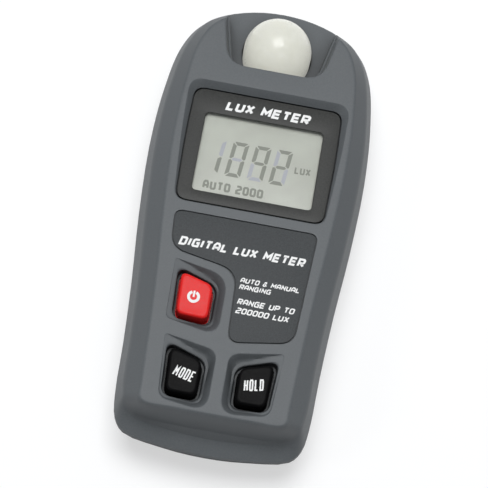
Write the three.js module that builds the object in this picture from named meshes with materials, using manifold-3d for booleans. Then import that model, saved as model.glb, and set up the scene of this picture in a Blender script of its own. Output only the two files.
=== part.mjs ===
// Handheld light meter: a moulded two-shell case with a domed light sensor in a notch at its
// top end, a display, a printed label, three push buttons and three AAA cells under a door.
// Millimetres. X is the width, +Y points to the sensor end and +Z points out of the face.
// The origin is the middle of the flat back, which the case rests on.

import * as THREE from 'three';
import { mergeVertices } from 'three/addons/utils/BufferGeometryUtils.js';
import Module from 'manifold-3d';

const wasm = await Module();
wasm.setup();

// ---------------------------------------------------------------- driving dimensions

const GAP = 0.3; // clearance between neighbouring pieces
const WALL = 2; // thickness of the moulded walls

// Heights of the case above its back.
const FACE_Z = 25;
const WALL_TOP_Z = 20.5; // where the steep side wall turns into the slope up to the face
const PARTING_Z = 12.5; // middle of the parting line between the two shells
const LIP_Z = 14; // rim of the rear shell behind the dome
const CEILING_Z = 23; // inside of the face

// Right half of the case outline at three heights, from the sensor end down to the lower end.
const PARTING_OUTLINE = [
  [0, 60.65], [8, 59.8], [15.5, 57.2], [21.4, 53], [25.1, 46], [27.3, 33], [28, 17], [27.1, -2],
  [25.5, -20], [24.5, -36], [24, -49], [22.9, -55], [20.4, -58.1], [11, -60], [0, -60.65],
];
const WALL_TOP_OUTLINE = [
  [0, 57.2], [8, 56.3], [14.4, 54], [19.3, 50.8], [23, 44.4], [25.3, 32.5], [26.1, 17], [25.2, -2],
  [23.6, -20], [22.6, -36], [22.1, -48], [21, -53], [18.7, -55.5], [10, -56.8], [0, -57.15],
];
const FACE_OUTLINE = [
  [0, 53.6], [8, 53], [13.4, 51.4], [17.2, 48.5], [20.1, 42.6], [21.6, 31], [21.95, 16], [21, -2],
  [19.5, -20], [18.5, -36], [17.9, -48], [17.6, -52.4], [16.4, -53.5], [9, -53.7], [0, -53.75],
];
// Along the lower end the wall's top is drawn in and lowered, so that the end is hollowed: a
// steep step under the face, then a gentler chin. It starts and is full at these Y.
const CHIN = { startY: -51, fullY: -56.2, pull: 1.3, drop: 4.4 };
// The rear shell draws in below the parting line: [height, inset from the outline].
const REAR_STEPS = [[0, 3.8], [0.35, 3.1], [1.2, 2.6], [4, 2]];
const REAR_CAVITY_STEPS = [[2, 5], [5, 4]];
// The rear shell's rim carries a tongue that laps inside the front shell's rim.
const TONGUE = { outerInset: 1.1, innerInset: 1.9, height: 0.9 };

// The notch in the face shell: half width and depth of its floor corner, and its flare.
const NOTCH = { cornerX: 12.1, bottomY: 38.15, mouthX: 17.6, mouthY: 64, round: 3.8, draft: 1.7 };

// The light sensor under the dome: a small board on two posts, a photodiode and its filter.
const SENSOR_BOARD = { halfWidth: 7.8, below: 8, above: 7.4, bottomZ: 5.2, topZ: 6.4 };
const SENSOR_POST = { x: 5.4, radius: 1.8 };
const DIODE = { radius: 4.1, bottomZ: 6.7, topZ: 8.9, flangeRadius: 4.6, flangeTopZ: 7.3 };
const FILTER = { radius: 4.6, bottomZ: 9.2 };
const DOME = { y: 48.1, z: 16, radius: 8.85, skirtZ: 11.9, shell: 1.2 };
const SEAT = { radius: 9.25, floorZ: 11.6, apertureRadius: 6, undersideZ: 10.6 };
const LIP_BEVEL = 0.4;

// The display panel lies in a recess that gets deeper towards the sensor end.
const PANEL = { bottomY: -0.6, bottomZ: 24.85, length: 31.2, halfWidth: 19, drop: 1.35, thickness: 1.2 };
const PANEL_TILT = -Math.asin(PANEL.drop / PANEL.length);
const LCD = { halfWidth: 16.9, bottom: 2.3, top: 28.1, thickness: 2, depth: 1.5 };
const REFLECTOR = { bottom: 6.2, thickness: 1.2, margin: 0.4 };
const DISPLAY_BLOCK = { halfWidth: 20.6, bottomY: -2.2, topY: 33, bottomZ: 20.3 };
const HOLDER = { halfWidth: 18.7, bottomY: -0.6, topY: 29.6, topZ: 20, wall: 1.4 };
const STRIP = { halfWidth: 13, bottomY: 2.2, topY: 4, topZ: 20.6 };

// The label is a thin overlay in a shallow recess: corners with their rounding.
const LABEL_CORNERS = [
  [-17.7, -3.8, 2.2], [17.6, -3.8, 2.2], [16, -32.3, 3.4], [0.6, -34.9, 3],
  [-0.1, -16.6, 4.6], [-17, -13.6, 3.6],
];
const LABEL = { thickness: 0.3, recess: 0.45 };

// Buttons: [x, y, rounding] of the cap's corners, and the well that it stands in.
const POWER_CAP = [[-13.4, -19.4, 1.9], [-5.2, -21.7, 1.9], [-5.2, -30.5, 1.8], [-12.9, -30.2, 1.8]];
const POWER_WELL = [[-15.6, -16.1, 1.2], [-2.1, -18.6, 4.6], [-2.1, -33.9, 4.4], [-15.2, -31.5, 1.2]];
const MODE_CAP = [[-12.6, -38.6, 1.9], [-4.5, -40.9, 1.9], [-4.7, -49.6, 1.8], [-12, -49.5, 1.8]];
const MODE_WELL = [[-14.6, -35.4, 1.2], [-1.5, -37.6, 2.6], [-1.5, -52.8, 4.4], [-13.4, -51.3, 2.4]];
const WELL_DEPTH = 2.2; // at the side nearer the middle of the case; the other side is flush
const BUTTON = { topZ: 26, flangeZ: 19.9, flangeThickness: 1, flange: 0.8, clearance: 0.4, collar: 3.4 };
const COLLAR_Z = 21.2; // underside of the stops around the button holes
// Each cap stands in a pocket that is a little wider all round.
const POCKET = { wider: 0.92, floorZ: 22 };

const BOARD = { bottomZ: 15.9, topZ: 17.5, halfWidth: 18.3, bottomY: -47.6, topY: 34.6 };
const KEY_DOME = { baseRadius: 3.4, topRadius: 1.7, topZ: 19.6, wall: 0.5, foot: 0.8, footHeight: 0.4 };
const CHIP = { halfWidth: 6, bottomY: 12, topY: 24, thickness: 1.4 };
const CRYSTAL = { x: 11, y: 18, radius: 1.3, length: 7 };
const BATTERY_LEAD = { x: 13.5, radius: 0.6 };

// Three AAA cells side by side in a bay that the door closes from the back.
const CELL = { length: 44.5, radius: 5.25, nubRadius: 1.9, nub: 1, pitch: 10.95, z: 7.95 };
const BAY = { halfWidth: 16.7, bottomY: -47.5, topY: 2.5, ceilingZ: 13.5, ceiling: 0.9, wall: 1.5 };
const DOOR = {
  thickness: 1.8, z: 0.1,
  tabX: 5.45, tabWidth: 3.6, tabReach: 1.5, tabZ: 2.3, tabThickness: 1,
};
const GRIP = { count: 4, halfWidth: 6, firstY: -4.4, pitch: 1.5, width: 0.6, depth: 0.6 };
const LATCH_SLOT = { x: 7.2, width: 0.7, bottomY: -6 };
const THUMB_DISH = { radius: 9, offsetY: 2.2, z: -8.1 };
const SPRING_SLOT = { halfWidth: 3.9, depth: 0.7, z0: 3.9, z1: 12.2 };
const SPRING = { bigRadius: 3.3, smallRadius: 1.9, wire: 0.6, turns: 3, length: 3.4 };

const CASE_SCREW = {
  headRadius: 2.3, headHeight: 1.8, seatZ: 5,
  shankRadius: 1.2, tipZ: 19.5, lowTipZ: 16.4,
};
const CASE_POST = { rearRadius: 3.4, frontRadius: 3, lowDrop: 2.2 };
const SCREW_BITE = 0.2; // how much wider than a screw its hole is
const CASE_SCREW_PLACES = [[-17.5, 41], [17.5, 41], [-14.8, -53], [14.8, -53]];
const BOARD_POST_RADIUS = 2.1;
const BOARD_SCREW = { headRadius: 1.9, headHeight: 1.1, shankRadius: 0.85, tipZ: 21.5 };
const BOARD_SCREW_PLACES = [[-15.9, 32.2], [15.9, 32.2], [-16.1, -45.2], [16.1, -45.2]];

// ---------------------------------------------------------------- materials

const finish = (color, roughness, metalness = 0) => () =>
  new THREE.MeshStandardMaterial({ color, roughness, metalness });
const GREY_ABS = finish(0x6b6f72, 0.55);
const DARK_PANEL = finish(0x3c3d3c, 0.4);
const LABEL_FILM = finish(0x4a4c4e, 0.6);
const RED_CAP = finish(0xe04038, 0.35);
const BLACK_CAP = finish(0x1c1d1e, 0.35);
const WHITE_DIFFUSER = finish(0xe8eae2, 0.4);
const LCD_GREY = finish(0xb9bdb4, 0.25);
const WHITE_PLASTIC = finish(0xe6e6e2, 0.6);
const BLACK_RUBBER = finish(0x202020, 0.8);
const SILICONE = finish(0xc9ccc6, 0.7);
const GREEN_BOARD = finish(0x1e6b3c, 0.5);
const CHIP_BLACK = finish(0x151515, 0.5);
const STEEL = finish(0xb9bcbf, 0.3, 0.9);
const BRASS = finish(0xc8a860, 0.3, 0.9);
const GREEN_GLASS = finish(0x5f9a6a, 0.1);
const CELL_JACKET = finish(0x2f5f8a, 0.35);
const RED_WIRE = finish(0xb02020, 0.6);
const BLACK_WIRE = finish(0x181818, 0.6);

// ---------------------------------------------------------------- shapes

/** A closed solid through rings of points, each ring counter-clockwise and higher than the last. */
function loft(rings) {
  const count = rings[0].length;
  const index = [];
  for (let k = 0; k + 1 < rings.length; k++) {
    for (let i = 0; i < count; i++) {
      const a = k * count + i;
      const b = k * count + ((i + 1) % count);
      index.push(a, b, b + count, a, b + count, a + count);
    }
  }
  const top = (rings.length - 1) * count;
  for (const [a, b, c] of THREE.ShapeUtils.triangulateShape(rings[0], [])) index.push(a, c, b);
  for (const [a, b, c] of THREE.ShapeUtils.triangulateShape(rings.at(-1), [])) {
    index.push(top + a, top + b, top + c);
  }
  const geometry = new THREE.BufferGeometry().setFromPoints(rings.flat());
  geometry.setIndex(index);
  return geometry;
}

/** A ring of points at one height, from a flat outline. */
const ring = (outline, z) => outline.map((p) => new THREE.Vector3(p.x, p.y, z));

/** The points of a flat shape, counter-clockwise, without the repeated end point. */
function pointsOf(shape, curveSegments = 4) {
  const points = shape.getPoints(curveSegments);
  if (points[0].distanceTo(points.at(-1)) < 1e-6) points.pop();
  return THREE.ShapeUtils.isClockWise(points) ? points.reverse() : points;
}

/** The whole outline through the knots of its right half, counter-clockwise. */
function caseOutline(half, inset = 0) {
  const width = Math.max(...half.map(([x]) => x));
  const shrink = ([x, y]) => [x * (1 - inset / width), y * (1 - inset / 60)];
  const right = half.map(shrink).reverse();
  const left = right.slice(1, -1).reverse().map(([x, y]) => [-x, y]);
  const knots = [...right, ...left].map(([x, y]) => new THREE.Vector3(x, y, 0));
  const curve = new THREE.CatmullRomCurve3(knots, true, 'centripetal');
  return curve.getPoints(knots.length * 3).slice(0, -1);
}

/** The ring where the side wall turns into the slope, with the chin at its lower end. */
function wallTopRing(inset, z) {
  return caseOutline(WALL_TOP_OUTLINE, inset).map(({ x, y }) => {
    const share = THREE.MathUtils.smoothstep(-y, -CHIN.startY, -CHIN.fullY);
    return new THREE.Vector3(x, y + CHIN.pull * share, z - CHIN.drop * share);
  });
}

/** A flat shape with straight sides and rounded corners, each corner given as [x, y, rounding]. */
function roundedShape(corners) {
  const shape = new THREE.Shape();
  corners.forEach(([x, y, round], i) => {
    const corner = new THREE.Vector2(x, y);
    const [before, after] = [corners.at(i - 1), corners[(i + 1) % corners.length]].map(
      ([nx, ny]) => corner.clone().add(new THREE.Vector2(nx - x, ny - y).setLength(round)),
    );
    if (i === 0) shape.moveTo(before.x, before.y);
    else shape.lineTo(before.x, before.y);
    shape.quadraticCurveTo(corner.x, corner.y, after.x, after.y);
  });
  shape.closePath();
  return shape;
}

const roundedRectangle = (x0, x1, y0, y1, round) =>
  roundedShape([[x0, y0, round], [x1, y0, round], [x1, y1, round], [x0, y1, round]]);

/** The corners moved outwards by a distance along both of their sides. */
function grown(corners, distance) {
  const clockwise = THREE.ShapeUtils.isClockWise(corners.map(([x, y]) => new THREE.Vector2(x, y)));
  const side = clockwise ? -1 : 1;
  return corners.map(([x, y, round], i) => {
    const [px, py] = corners.at(i - 1);
    const [nx, ny] = corners[(i + 1) % corners.length];
    const into = new THREE.Vector2(x - px, y - py).normalize();
    const out = new THREE.Vector2(nx - x, ny - y).normalize();
    const normal = new THREE.Vector2(into.y + out.y, -into.x - out.x).normalize().multiplyScalar(side);
    const reach = distance / Math.max(0.3, side * (normal.x * into.y - normal.y * into.x));
    return [x + normal.x * reach, y + normal.y * reach, Math.max(0.2, round + distance * 0.6)];
  });
}

const mirrored = (corners) => corners.map(([x, y, round]) => [-x, y, round]);

/** An upright prism of a flat shape between two heights. */
function prism(shape, z0, z1, curveSegments = 4) {
  const options = { depth: z1 - z0, bevelEnabled: false, curveSegments };
  return new THREE.ExtrudeGeometry(shape, options).translate(0, 0, z0);
}

const block = (x0, x1, y0, y1, z0, z1) =>
  new THREE.BoxGeometry(x1 - x0, y1 - y0, z1 - z0)
    .translate((x0 + x1) / 2, (y0 + y1) / 2, (z0 + z1) / 2);

/** An upright round bar. */
const drum = (radius, z0, z1, x = 0, y = 0, sides = 20) =>
  new THREE.CylinderGeometry(radius, radius, z1 - z0, sides)
    .rotateX(Math.PI / 2)
    .translate(x, y, (z0 + z1) / 2);

/** A solid of revolution about the Z axis, from [radius, height] points going up. */
const turned = (profile, sides = 20) =>
  new THREE.LatheGeometry(profile.map(([r, z]) => new THREE.Vector2(r, z)), sides)
    .rotateX(Math.PI / 2);

/** A round wire along a curve. */
function wire(curve, radius, steps, sides = 8) {
  const section = new THREE.Shape();
  section.absarc(0, 0, radius, 0, Math.PI * 2, true);
  const options = { steps, extrudePath: curve, curveSegments: sides / 2, bevelEnabled: false };
  return new THREE.ExtrudeGeometry(section, options);
}

// ---------------------------------------------------------------- joining and cutting

function asSolid(shape) {
  if (!shape.isBufferGeometry) return shape;
  const bare = shape.clone();
  bare.deleteAttribute('normal');
  bare.deleteAttribute('uv');
  const merged = mergeVertices(bare, 1e-4);
  return new wasm.Manifold(new wasm.Mesh({
    numProp: 3,
    vertProperties: new Float32Array(merged.attributes.position.array),
    triVerts: new Uint32Array(merged.index.array),
  }));
}

const join = (...shapes) => shapes.map(asSolid).reduce((a, b) => a.add(b));
const cut = (base, ...tools) => tools.map(asSolid).reduce((a, b) => a.subtract(b), asSolid(base));
const common = (a, b) => asSolid(a).intersect(asSolid(b));

function surface(solid) {
  const mesh = solid.getMesh();
  const geometry = new THREE.BufferGeometry();
  geometry.setAttribute('position', new THREE.BufferAttribute(mesh.vertProperties, 3));
  geometry.setIndex(new THREE.BufferAttribute(mesh.triVerts, 1));
  geometry.computeVertexNormals();
  return geometry;
}

// ---------------------------------------------------------------- the assembly

const meter = new THREE.Group();

/** The tilted plane of the display: its origin is the middle of the panel's lower edge. */
const display = new THREE.Group();
display.position.set(0, PANEL.bottomY, PANEL.bottomZ);
display.rotation.x = PANEL_TILT;
display.updateMatrix();
meter.add(display);

function add(name, shape, material, parent = meter) {
  const geometry = shape.isBufferGeometry ? shape : surface(shape);
  const mesh = new THREE.Mesh(geometry, material());
  mesh.name = name;
  parent.add(mesh);
  return mesh;
}

// ---------------------------------------------------------------- shared outlines

/** The notch between the two horns of the front shell, drawn in at its sides and at its bottom. */
function notchShape(inset, bottomInset = 0) {
  const { cornerX, bottomY, mouthX, mouthY, round } = NOTCH;
  return roundedShape([
    [-cornerX + inset, bottomY + bottomInset, round],
    [cornerX - inset, bottomY + bottomInset, round],
    [mouthX - inset, mouthY, 1],
    [-mouthX + inset, mouthY, 1],
  ]);
}

/** The display panel's outline in the display's own plane, its sides very slightly bowed. */
function panelCorners(offset) {
  const half = PANEL.halfWidth + offset;
  const [low, high] = [-offset, PANEL.length + offset];
  return [
    [-half + 0.6, low, 2.8 + offset / 2], [half - 0.6, low, 2.8 + offset / 2],
    [half, PANEL.length * 0.6, 6], [half - 0.3, high, 2.8 + offset / 2],
    [-half + 0.3, high, 2.8 + offset / 2], [-half, PANEL.length * 0.6, 6],
  ];
}

/** A thin upright band that follows the case outline between two insets. */
function outlineBand(outerInset, innerInset, z0, z1) {
  const upright = (inset, low, high) => loft([
    ring(caseOutline(PARTING_OUTLINE, inset), low), ring(caseOutline(PARTING_OUTLINE, inset), high),
  ]);
  return cut(upright(outerInset, z0, z1), upright(innerInset, z0 - 1, z1 + 1));
}

/** A tool that cuts a button's well: flush with the face outside, WELL_DEPTH deep inside. */
function wellTool(corners) {
  const outerX = corners[0][0];
  const innerX = corners[1][0];
  const tilt = Math.atan2(WELL_DEPTH, Math.abs(innerX - outerX)) * Math.sign(innerX - outerX);
  return prism(roundedShape(corners), 0, 6)
    .translate(-outerX, 0, 0)
    .rotateY(tilt)
    .translate(outerX, 0, FACE_Z - 0.02);
}

const BUTTONS = [
  { name: 'power', cap: POWER_CAP, well: POWER_WELL, material: RED_CAP },
  { name: 'mode', cap: MODE_CAP, well: MODE_WELL, material: BLACK_CAP },
  { name: 'hold', cap: mirrored(MODE_CAP), well: mirrored(MODE_WELL), material: BLACK_CAP },
];

/** The screws at the lower end are shorter, because the chin is lower than the face. */
const caseScrewTipZ = (y) => (y < 0 ? CASE_SCREW.lowTipZ : CASE_SCREW.tipZ);

const middle = (corners) => [
  corners.reduce((sum, [x]) => sum + x, 0) / corners.length,
  corners.reduce((sum, [, y]) => sum + y, 0) / corners.length,
];

// ---------------------------------------------------------------- front shell

function frontShell() {
  const outside = loft([
    ring(caseOutline(PARTING_OUTLINE), PARTING_Z + GAP / 2),
    wallTopRing(0, WALL_TOP_Z),
    ring(caseOutline(FACE_OUTLINE), FACE_Z),
  ]);
  const inside = loft([
    ring(caseOutline(PARTING_OUTLINE, WALL), PARTING_Z - 1),
    wallTopRing(WALL, WALL_TOP_Z - 1),
    ring(caseOutline(FACE_OUTLINE, WALL / 2), CEILING_Z),
  ]);
  const notch = loft([
    ring(pointsOf(notchShape(NOTCH.draft)), PARTING_Z - 1),
    ring(pointsOf(notchShape(0)), FACE_Z + 0.2),
  ]);
  const notchWall = prism(notchShape(-WALL, -WALL), PARTING_Z - 2, FACE_Z + 1);
  const cavity = cut(inside, notchWall);

  const { halfWidth, bottomY, topY, bottomZ } = DISPLAY_BLOCK;
  const displayBlock = block(-halfWidth, halfWidth, bottomY, topY, bottomZ, CEILING_Z + 0.1);
  const collars = BUTTONS.map(({ cap }) =>
    prism(roundedShape(grown(cap, BUTTON.collar)), COLLAR_Z, CEILING_Z + 0.1));
  const casePosts = CASE_SCREW_PLACES.map(([x, y]) =>
    drum(CASE_POST.frontRadius, PARTING_Z + GAP / 2 + 0.2, CEILING_Z - (y < 0 ? CASE_POST.lowDrop : 0),
      x, y));
  const boardPosts = BOARD_SCREW_PLACES.map(([x, y]) =>
    drum(BOARD_POST_RADIUS, BOARD.topZ + GAP, CEILING_Z + 0.1, x, y, 16));

  const recess = loft([
    ring(pointsOf(roundedShape(panelCorners(GAP))), -PANEL.thickness - GAP),
    ring(pointsOf(roundedShape(panelCorners(GAP))), 0),
    ring(pointsOf(roundedShape(panelCorners(GAP + 3))), 3),
  ]).applyMatrix4(display.matrix);
  const opening = prism(
    roundedRectangle(-LCD.halfWidth - GAP, LCD.halfWidth + GAP, LCD.bottom - GAP, LCD.top + GAP, 0.8), -9, 1,
  ).applyMatrix4(display.matrix);
  const labelRecess = prism(roundedShape(grown(LABEL_CORNERS, 0.25)), FACE_Z - LABEL.recess, FACE_Z + 1);
  const wells = BUTTONS.map(({ well }) => wellTool(well));
  const pockets = BUTTONS.map(({ cap }) => {
    const corners = grown(cap, POCKET.wider);
    return prism(roundedShape(corners), POCKET.floorZ, FACE_Z + 1);
  });
  const buttonHoles = BUTTONS.map(({ cap }) =>
    prism(roundedShape(grown(cap, BUTTON.clearance)), COLLAR_Z - 3, FACE_Z + 1));
  const caseHoles = CASE_SCREW_PLACES.map(([x, y]) =>
    drum(CASE_SCREW.shankRadius + SCREW_BITE, PARTING_Z - 2, caseScrewTipZ(y) + 0.5, x, y, 16));
  const boardHoles = BOARD_SCREW_PLACES.map(([x, y]) =>
    drum(BOARD_SCREW.shankRadius + SCREW_BITE, BOARD.topZ, BOARD_SCREW.tipZ + 0.5, x, y, 12));

  const groove = outlineBand(
    TONGUE.outerInset - GAP, TONGUE.innerInset + GAP, PARTING_Z - 1, PARTING_Z + TONGUE.height + GAP,
  );

  const shell = cut(outside, cavity);
  const fittings = common(join(displayBlock, ...collars, ...casePosts, ...boardPosts), outside);
  return cut(
    join(shell, fittings),
    groove, notch, recess, opening, labelRecess,
    ...wells, ...pockets, ...buttonHoles, ...caseHoles, ...boardHoles,
  );
}

// ---------------------------------------------------------------- rear shell

function rearOutside(topZ) {
  const steps = REAR_STEPS.map(([z, inset]) => ring(caseOutline(PARTING_OUTLINE, inset), z));
  return loft([...steps, ring(caseOutline(PARTING_OUTLINE), topZ)]);
}

function batteryBay() {
  const { halfWidth, bottomY, topY, wall, ceilingZ, ceiling } = BAY;
  return {
    outside: block(-halfWidth - wall, halfWidth + wall, bottomY - wall, topY + wall, 0.5,
      ceilingZ + ceiling),
    inside: block(-halfWidth, halfWidth, bottomY, topY, -1, ceilingZ),
  };
}

const doorTabs = (extra) => [-DOOR.tabX, DOOR.tabX].map((x) =>
  block(
    x - DOOR.tabWidth / 2 - extra, x + DOOR.tabWidth / 2 + extra,
    BAY.bottomY - DOOR.tabReach - extra, BAY.bottomY + 1.6 + extra,
    DOOR.tabZ - (extra ? 0.4 : 0), DOOR.tabZ + DOOR.tabThickness + (extra ? 0.8 : 0),
  ));

function rearShell() {
  const rimZ = PARTING_Z - GAP / 2;
  const cavity = loft([
    ...REAR_CAVITY_STEPS.map(([z, inset]) => ring(caseOutline(PARTING_OUTLINE, inset), z)),
    ring(caseOutline(PARTING_OUTLINE, WALL), rimZ + 1),
  ]);
  const shell = cut(rearOutside(rimZ), cavity);
  const tongue = outlineBand(
    TONGUE.outerInset, TONGUE.innerInset, rimZ - 0.5, PARTING_Z + TONGUE.height,
  );

  // The floor under the dome, and the flat step inside the notch up to the lip.
  const bayFloor = common(prism(notchShape(-WALL, -WALL), SEAT.undersideZ, rimZ), rearOutside(rimZ));
  const step = common(
    prism(notchShape(NOTCH.draft + GAP, GAP), rimZ - 0.2, LIP_Z),
    loft([
      ring(caseOutline(PARTING_OUTLINE), rimZ - 1),
      ring(caseOutline(PARTING_OUTLINE), LIP_Z - LIP_BEVEL),
      ring(caseOutline(PARTING_OUTLINE, LIP_BEVEL), LIP_Z),
    ]),
  );
  const seat = drum(SEAT.radius, SEAT.floorZ, LIP_Z + 1, 0, DOME.y, 28);
  const aperture = drum(SEAT.apertureRadius, SEAT.undersideZ - 1, LIP_Z, 0, DOME.y, 24);

  const bay = batteryBay();
  const sensorPosts = [-SENSOR_POST.x, SENSOR_POST.x].map((x) =>
    drum(SENSOR_POST.radius, WALL - 0.5, SENSOR_BOARD.bottomZ - GAP, x, DOME.y, 12));
  const screwPosts = CASE_SCREW_PLACES.map(([x, y]) => drum(CASE_POST.rearRadius, 0.4, rimZ, x, y));
  const screwHoles = CASE_SCREW_PLACES.flatMap(([x, y]) => [
    drum(CASE_SCREW.headRadius + GAP, -1, CASE_SCREW.seatZ + SCREW_BITE, x, y),
    drum(CASE_SCREW.shankRadius + GAP, 0, PARTING_Z + 1, x, y, 16),
  ]);
  const thumbDish = new THREE.SphereGeometry(THUMB_DISH.radius, 24, 16)
    .translate(0, BAY.topY + THUMB_DISH.offsetY, THUMB_DISH.z);
  const springSlots = [-1, 0, 1].map((k) =>
    block(
      k * CELL.pitch - SPRING_SLOT.halfWidth, k * CELL.pitch + SPRING_SLOT.halfWidth,
      BAY.bottomY - SPRING_SLOT.depth, BAY.topY + SPRING_SLOT.depth, SPRING_SLOT.z0, SPRING_SLOT.z1,
    ));

  return cut(
    join(shell, tongue, bayFloor, step, ...[bay.outside, ...sensorPosts, ...screwPosts].map((fitting) =>
      common(fitting, rearOutside(BAY.ceilingZ + BAY.ceiling)))),
    seat, aperture, bay.inside, ...doorTabs(GAP), ...screwHoles, thumbDish, ...springSlots,
  );
}

function batteryDoor() {
  const edge = GAP;
  const plate = prism(
    roundedRectangle(-BAY.halfWidth + edge, BAY.halfWidth - edge, BAY.bottomY + edge, BAY.topY - edge, 0.4),
    DOOR.z, DOOR.z + DOOR.thickness,
  );
  const tabs = doorTabs(0);
  const roots = [-DOOR.tabX, DOOR.tabX].map((x) =>
    block(x - DOOR.tabWidth / 2, x + DOOR.tabWidth / 2, BAY.bottomY + 0.5, BAY.bottomY + 1.6, 1, 2.6));
  const grips = Array.from({ length: GRIP.count }, (_, k) => GRIP.firstY - k * GRIP.pitch).map((y) =>
    block(-GRIP.halfWidth, GRIP.halfWidth, y, y + GRIP.width, -1, GRIP.depth));
  const latchSlots = [-LATCH_SLOT.x, LATCH_SLOT.x].map((x) =>
    block(x - LATCH_SLOT.width / 2, x + LATCH_SLOT.width / 2, LATCH_SLOT.bottomY, BAY.topY + 1, -1, 3));
  return cut(join(plate, ...tabs, ...roots), ...grips, ...latchSlots);
}

// ---------------------------------------------------------------- sensor

function sensorDome() {
  const { radius, shell, skirtZ, z } = DOME;
  const arc = (r, from, to, steps) => Array.from({ length: steps + 1 }, (_, k) => {
    const angle = THREE.MathUtils.lerp(from, to, k / steps);
    return [r * Math.cos(angle), z + r * Math.sin(angle)];
  });
  const outer = arc(radius, 0, Math.PI / 2, 9);
  const inner = arc(radius - shell, Math.PI / 2, 0, 6);
  outer[outer.length - 1][0] = 0;
  inner[0][0] = 0;
  return turned([
    ...inner, [radius - shell, skirtZ], [radius, skirtZ], ...outer,
  ], 28).translate(0, DOME.y, 0);
}

function addSensor() {
  add('sensor_dome', sensorDome(), WHITE_DIFFUSER);
  add('photopic_filter',
    drum(FILTER.radius, FILTER.bottomZ, SEAT.undersideZ - GAP, 0, DOME.y, 24), GREEN_GLASS);
  const can = drum(DIODE.radius, DIODE.flangeTopZ - 0.3, DIODE.topZ, 0, DOME.y, 24);
  const flange = drum(DIODE.flangeRadius, DIODE.bottomZ, DIODE.flangeTopZ, 0, DOME.y, 24);
  add('photodiode', join(can, flange), STEEL);
  const { halfWidth, below, above, bottomZ, topZ } = SENSOR_BOARD;
  add('sensor_board', prism(
    roundedRectangle(-halfWidth, halfWidth, DOME.y - below, DOME.y + above, 1), bottomZ, topZ,
  ), GREEN_BOARD);
  for (const [k, side] of [-1, 1].entries()) {
    const route = new THREE.CatmullRomCurve3([
      new THREE.Vector3(side * 2.2, 41.6, 6.9), new THREE.Vector3(side * 2.2, 38, 8),
      new THREE.Vector3(side * 2.4, 34.5, 9.2), new THREE.Vector3(side * 2.6, 31.4, 12),
      new THREE.Vector3(side * 2.6, 30.6, 15.4),
    ]);
    add(`sensor_lead_${k + 1}`, wire(route, 0.55, 12), k ? BLACK_WIRE : RED_WIRE);
  }
}

// ---------------------------------------------------------------- display

function addDisplay() {
  const panel = prism(roundedShape(panelCorners(0)), -PANEL.thickness, 0);
  add('display_panel', panel, DARK_PANEL, display);

  const lcdTop = -LCD.depth;
  const lcdBottom = lcdTop - LCD.thickness;
  add('lcd_glass', join(
    block(-LCD.halfWidth, LCD.halfWidth, LCD.bottom, LCD.top, lcdBottom + 1, lcdTop),
    block(-LCD.halfWidth, LCD.halfWidth, LCD.bottom + 2.4, LCD.top, lcdBottom, lcdBottom + 1.1),
  ), LCD_GREY, display);
  const reflectorTop = lcdBottom - GAP;
  add('lcd_reflector', block(
    -LCD.halfWidth + REFLECTOR.margin, LCD.halfWidth - REFLECTOR.margin,
    REFLECTOR.bottom, LCD.top - REFLECTOR.margin,
    reflectorTop - REFLECTOR.thickness, reflectorTop,
  ), WHITE_PLASTIC, display);

  const { halfWidth, bottomY, topY, topZ, wall } = HOLDER;
  add('lcd_holder', cut(
    block(-halfWidth, halfWidth, bottomY, topY, BOARD.topZ + GAP, topZ),
    block(-halfWidth + wall, halfWidth - wall, bottomY + wall, topY - wall, BOARD.topZ, topZ + 1),
  ), WHITE_PLASTIC);
  add('contact_strip', block(
    -STRIP.halfWidth, STRIP.halfWidth, STRIP.bottomY, STRIP.topY, BOARD.topZ + GAP, STRIP.topZ,
  ), BLACK_RUBBER);
}

function addLabel() {
  const floorZ = FACE_Z - LABEL.recess;
  add('face_label', prism(roundedShape(LABEL_CORNERS), floorZ + 0.12, floorZ + 0.12 + LABEL.thickness),
    LABEL_FILM);
}

// ---------------------------------------------------------------- buttons

function addButtons() {
  for (const { name, cap, material } of BUTTONS) {
    const { topZ, flangeZ, flangeThickness, flange } = BUTTON;
    const [x, y] = middle(cap);
    const body = loft([
      ring(pointsOf(roundedShape(cap)), flangeZ + 0.2),
      ring(pointsOf(roundedShape(cap)), topZ - 0.9),
      ring(pointsOf(roundedShape(grown(cap, -0.5))), topZ),
    ]);
    const foot = prism(roundedShape(grown(cap, flange)), flangeZ, flangeZ + flangeThickness);
    add(`${name}_button`, join(body, foot), material);

    const { baseRadius, topRadius, topZ: domeZ, wall, foot: rim, footHeight } = KEY_DOME;
    const baseZ = BOARD.topZ + GAP;
    add(`${name}_dome`, turned([
      [baseRadius - wall, baseZ], [baseRadius + rim, baseZ], [baseRadius + rim, baseZ + footHeight],
      [baseRadius, baseZ + footHeight], [topRadius, domeZ], [0, domeZ], [0, domeZ - wall],
      [topRadius - wall, domeZ - wall],
      [baseRadius - wall, baseZ],
    ], 16).translate(x, y, 0), SILICONE);
  }
}

// ---------------------------------------------------------------- circuit board

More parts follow.
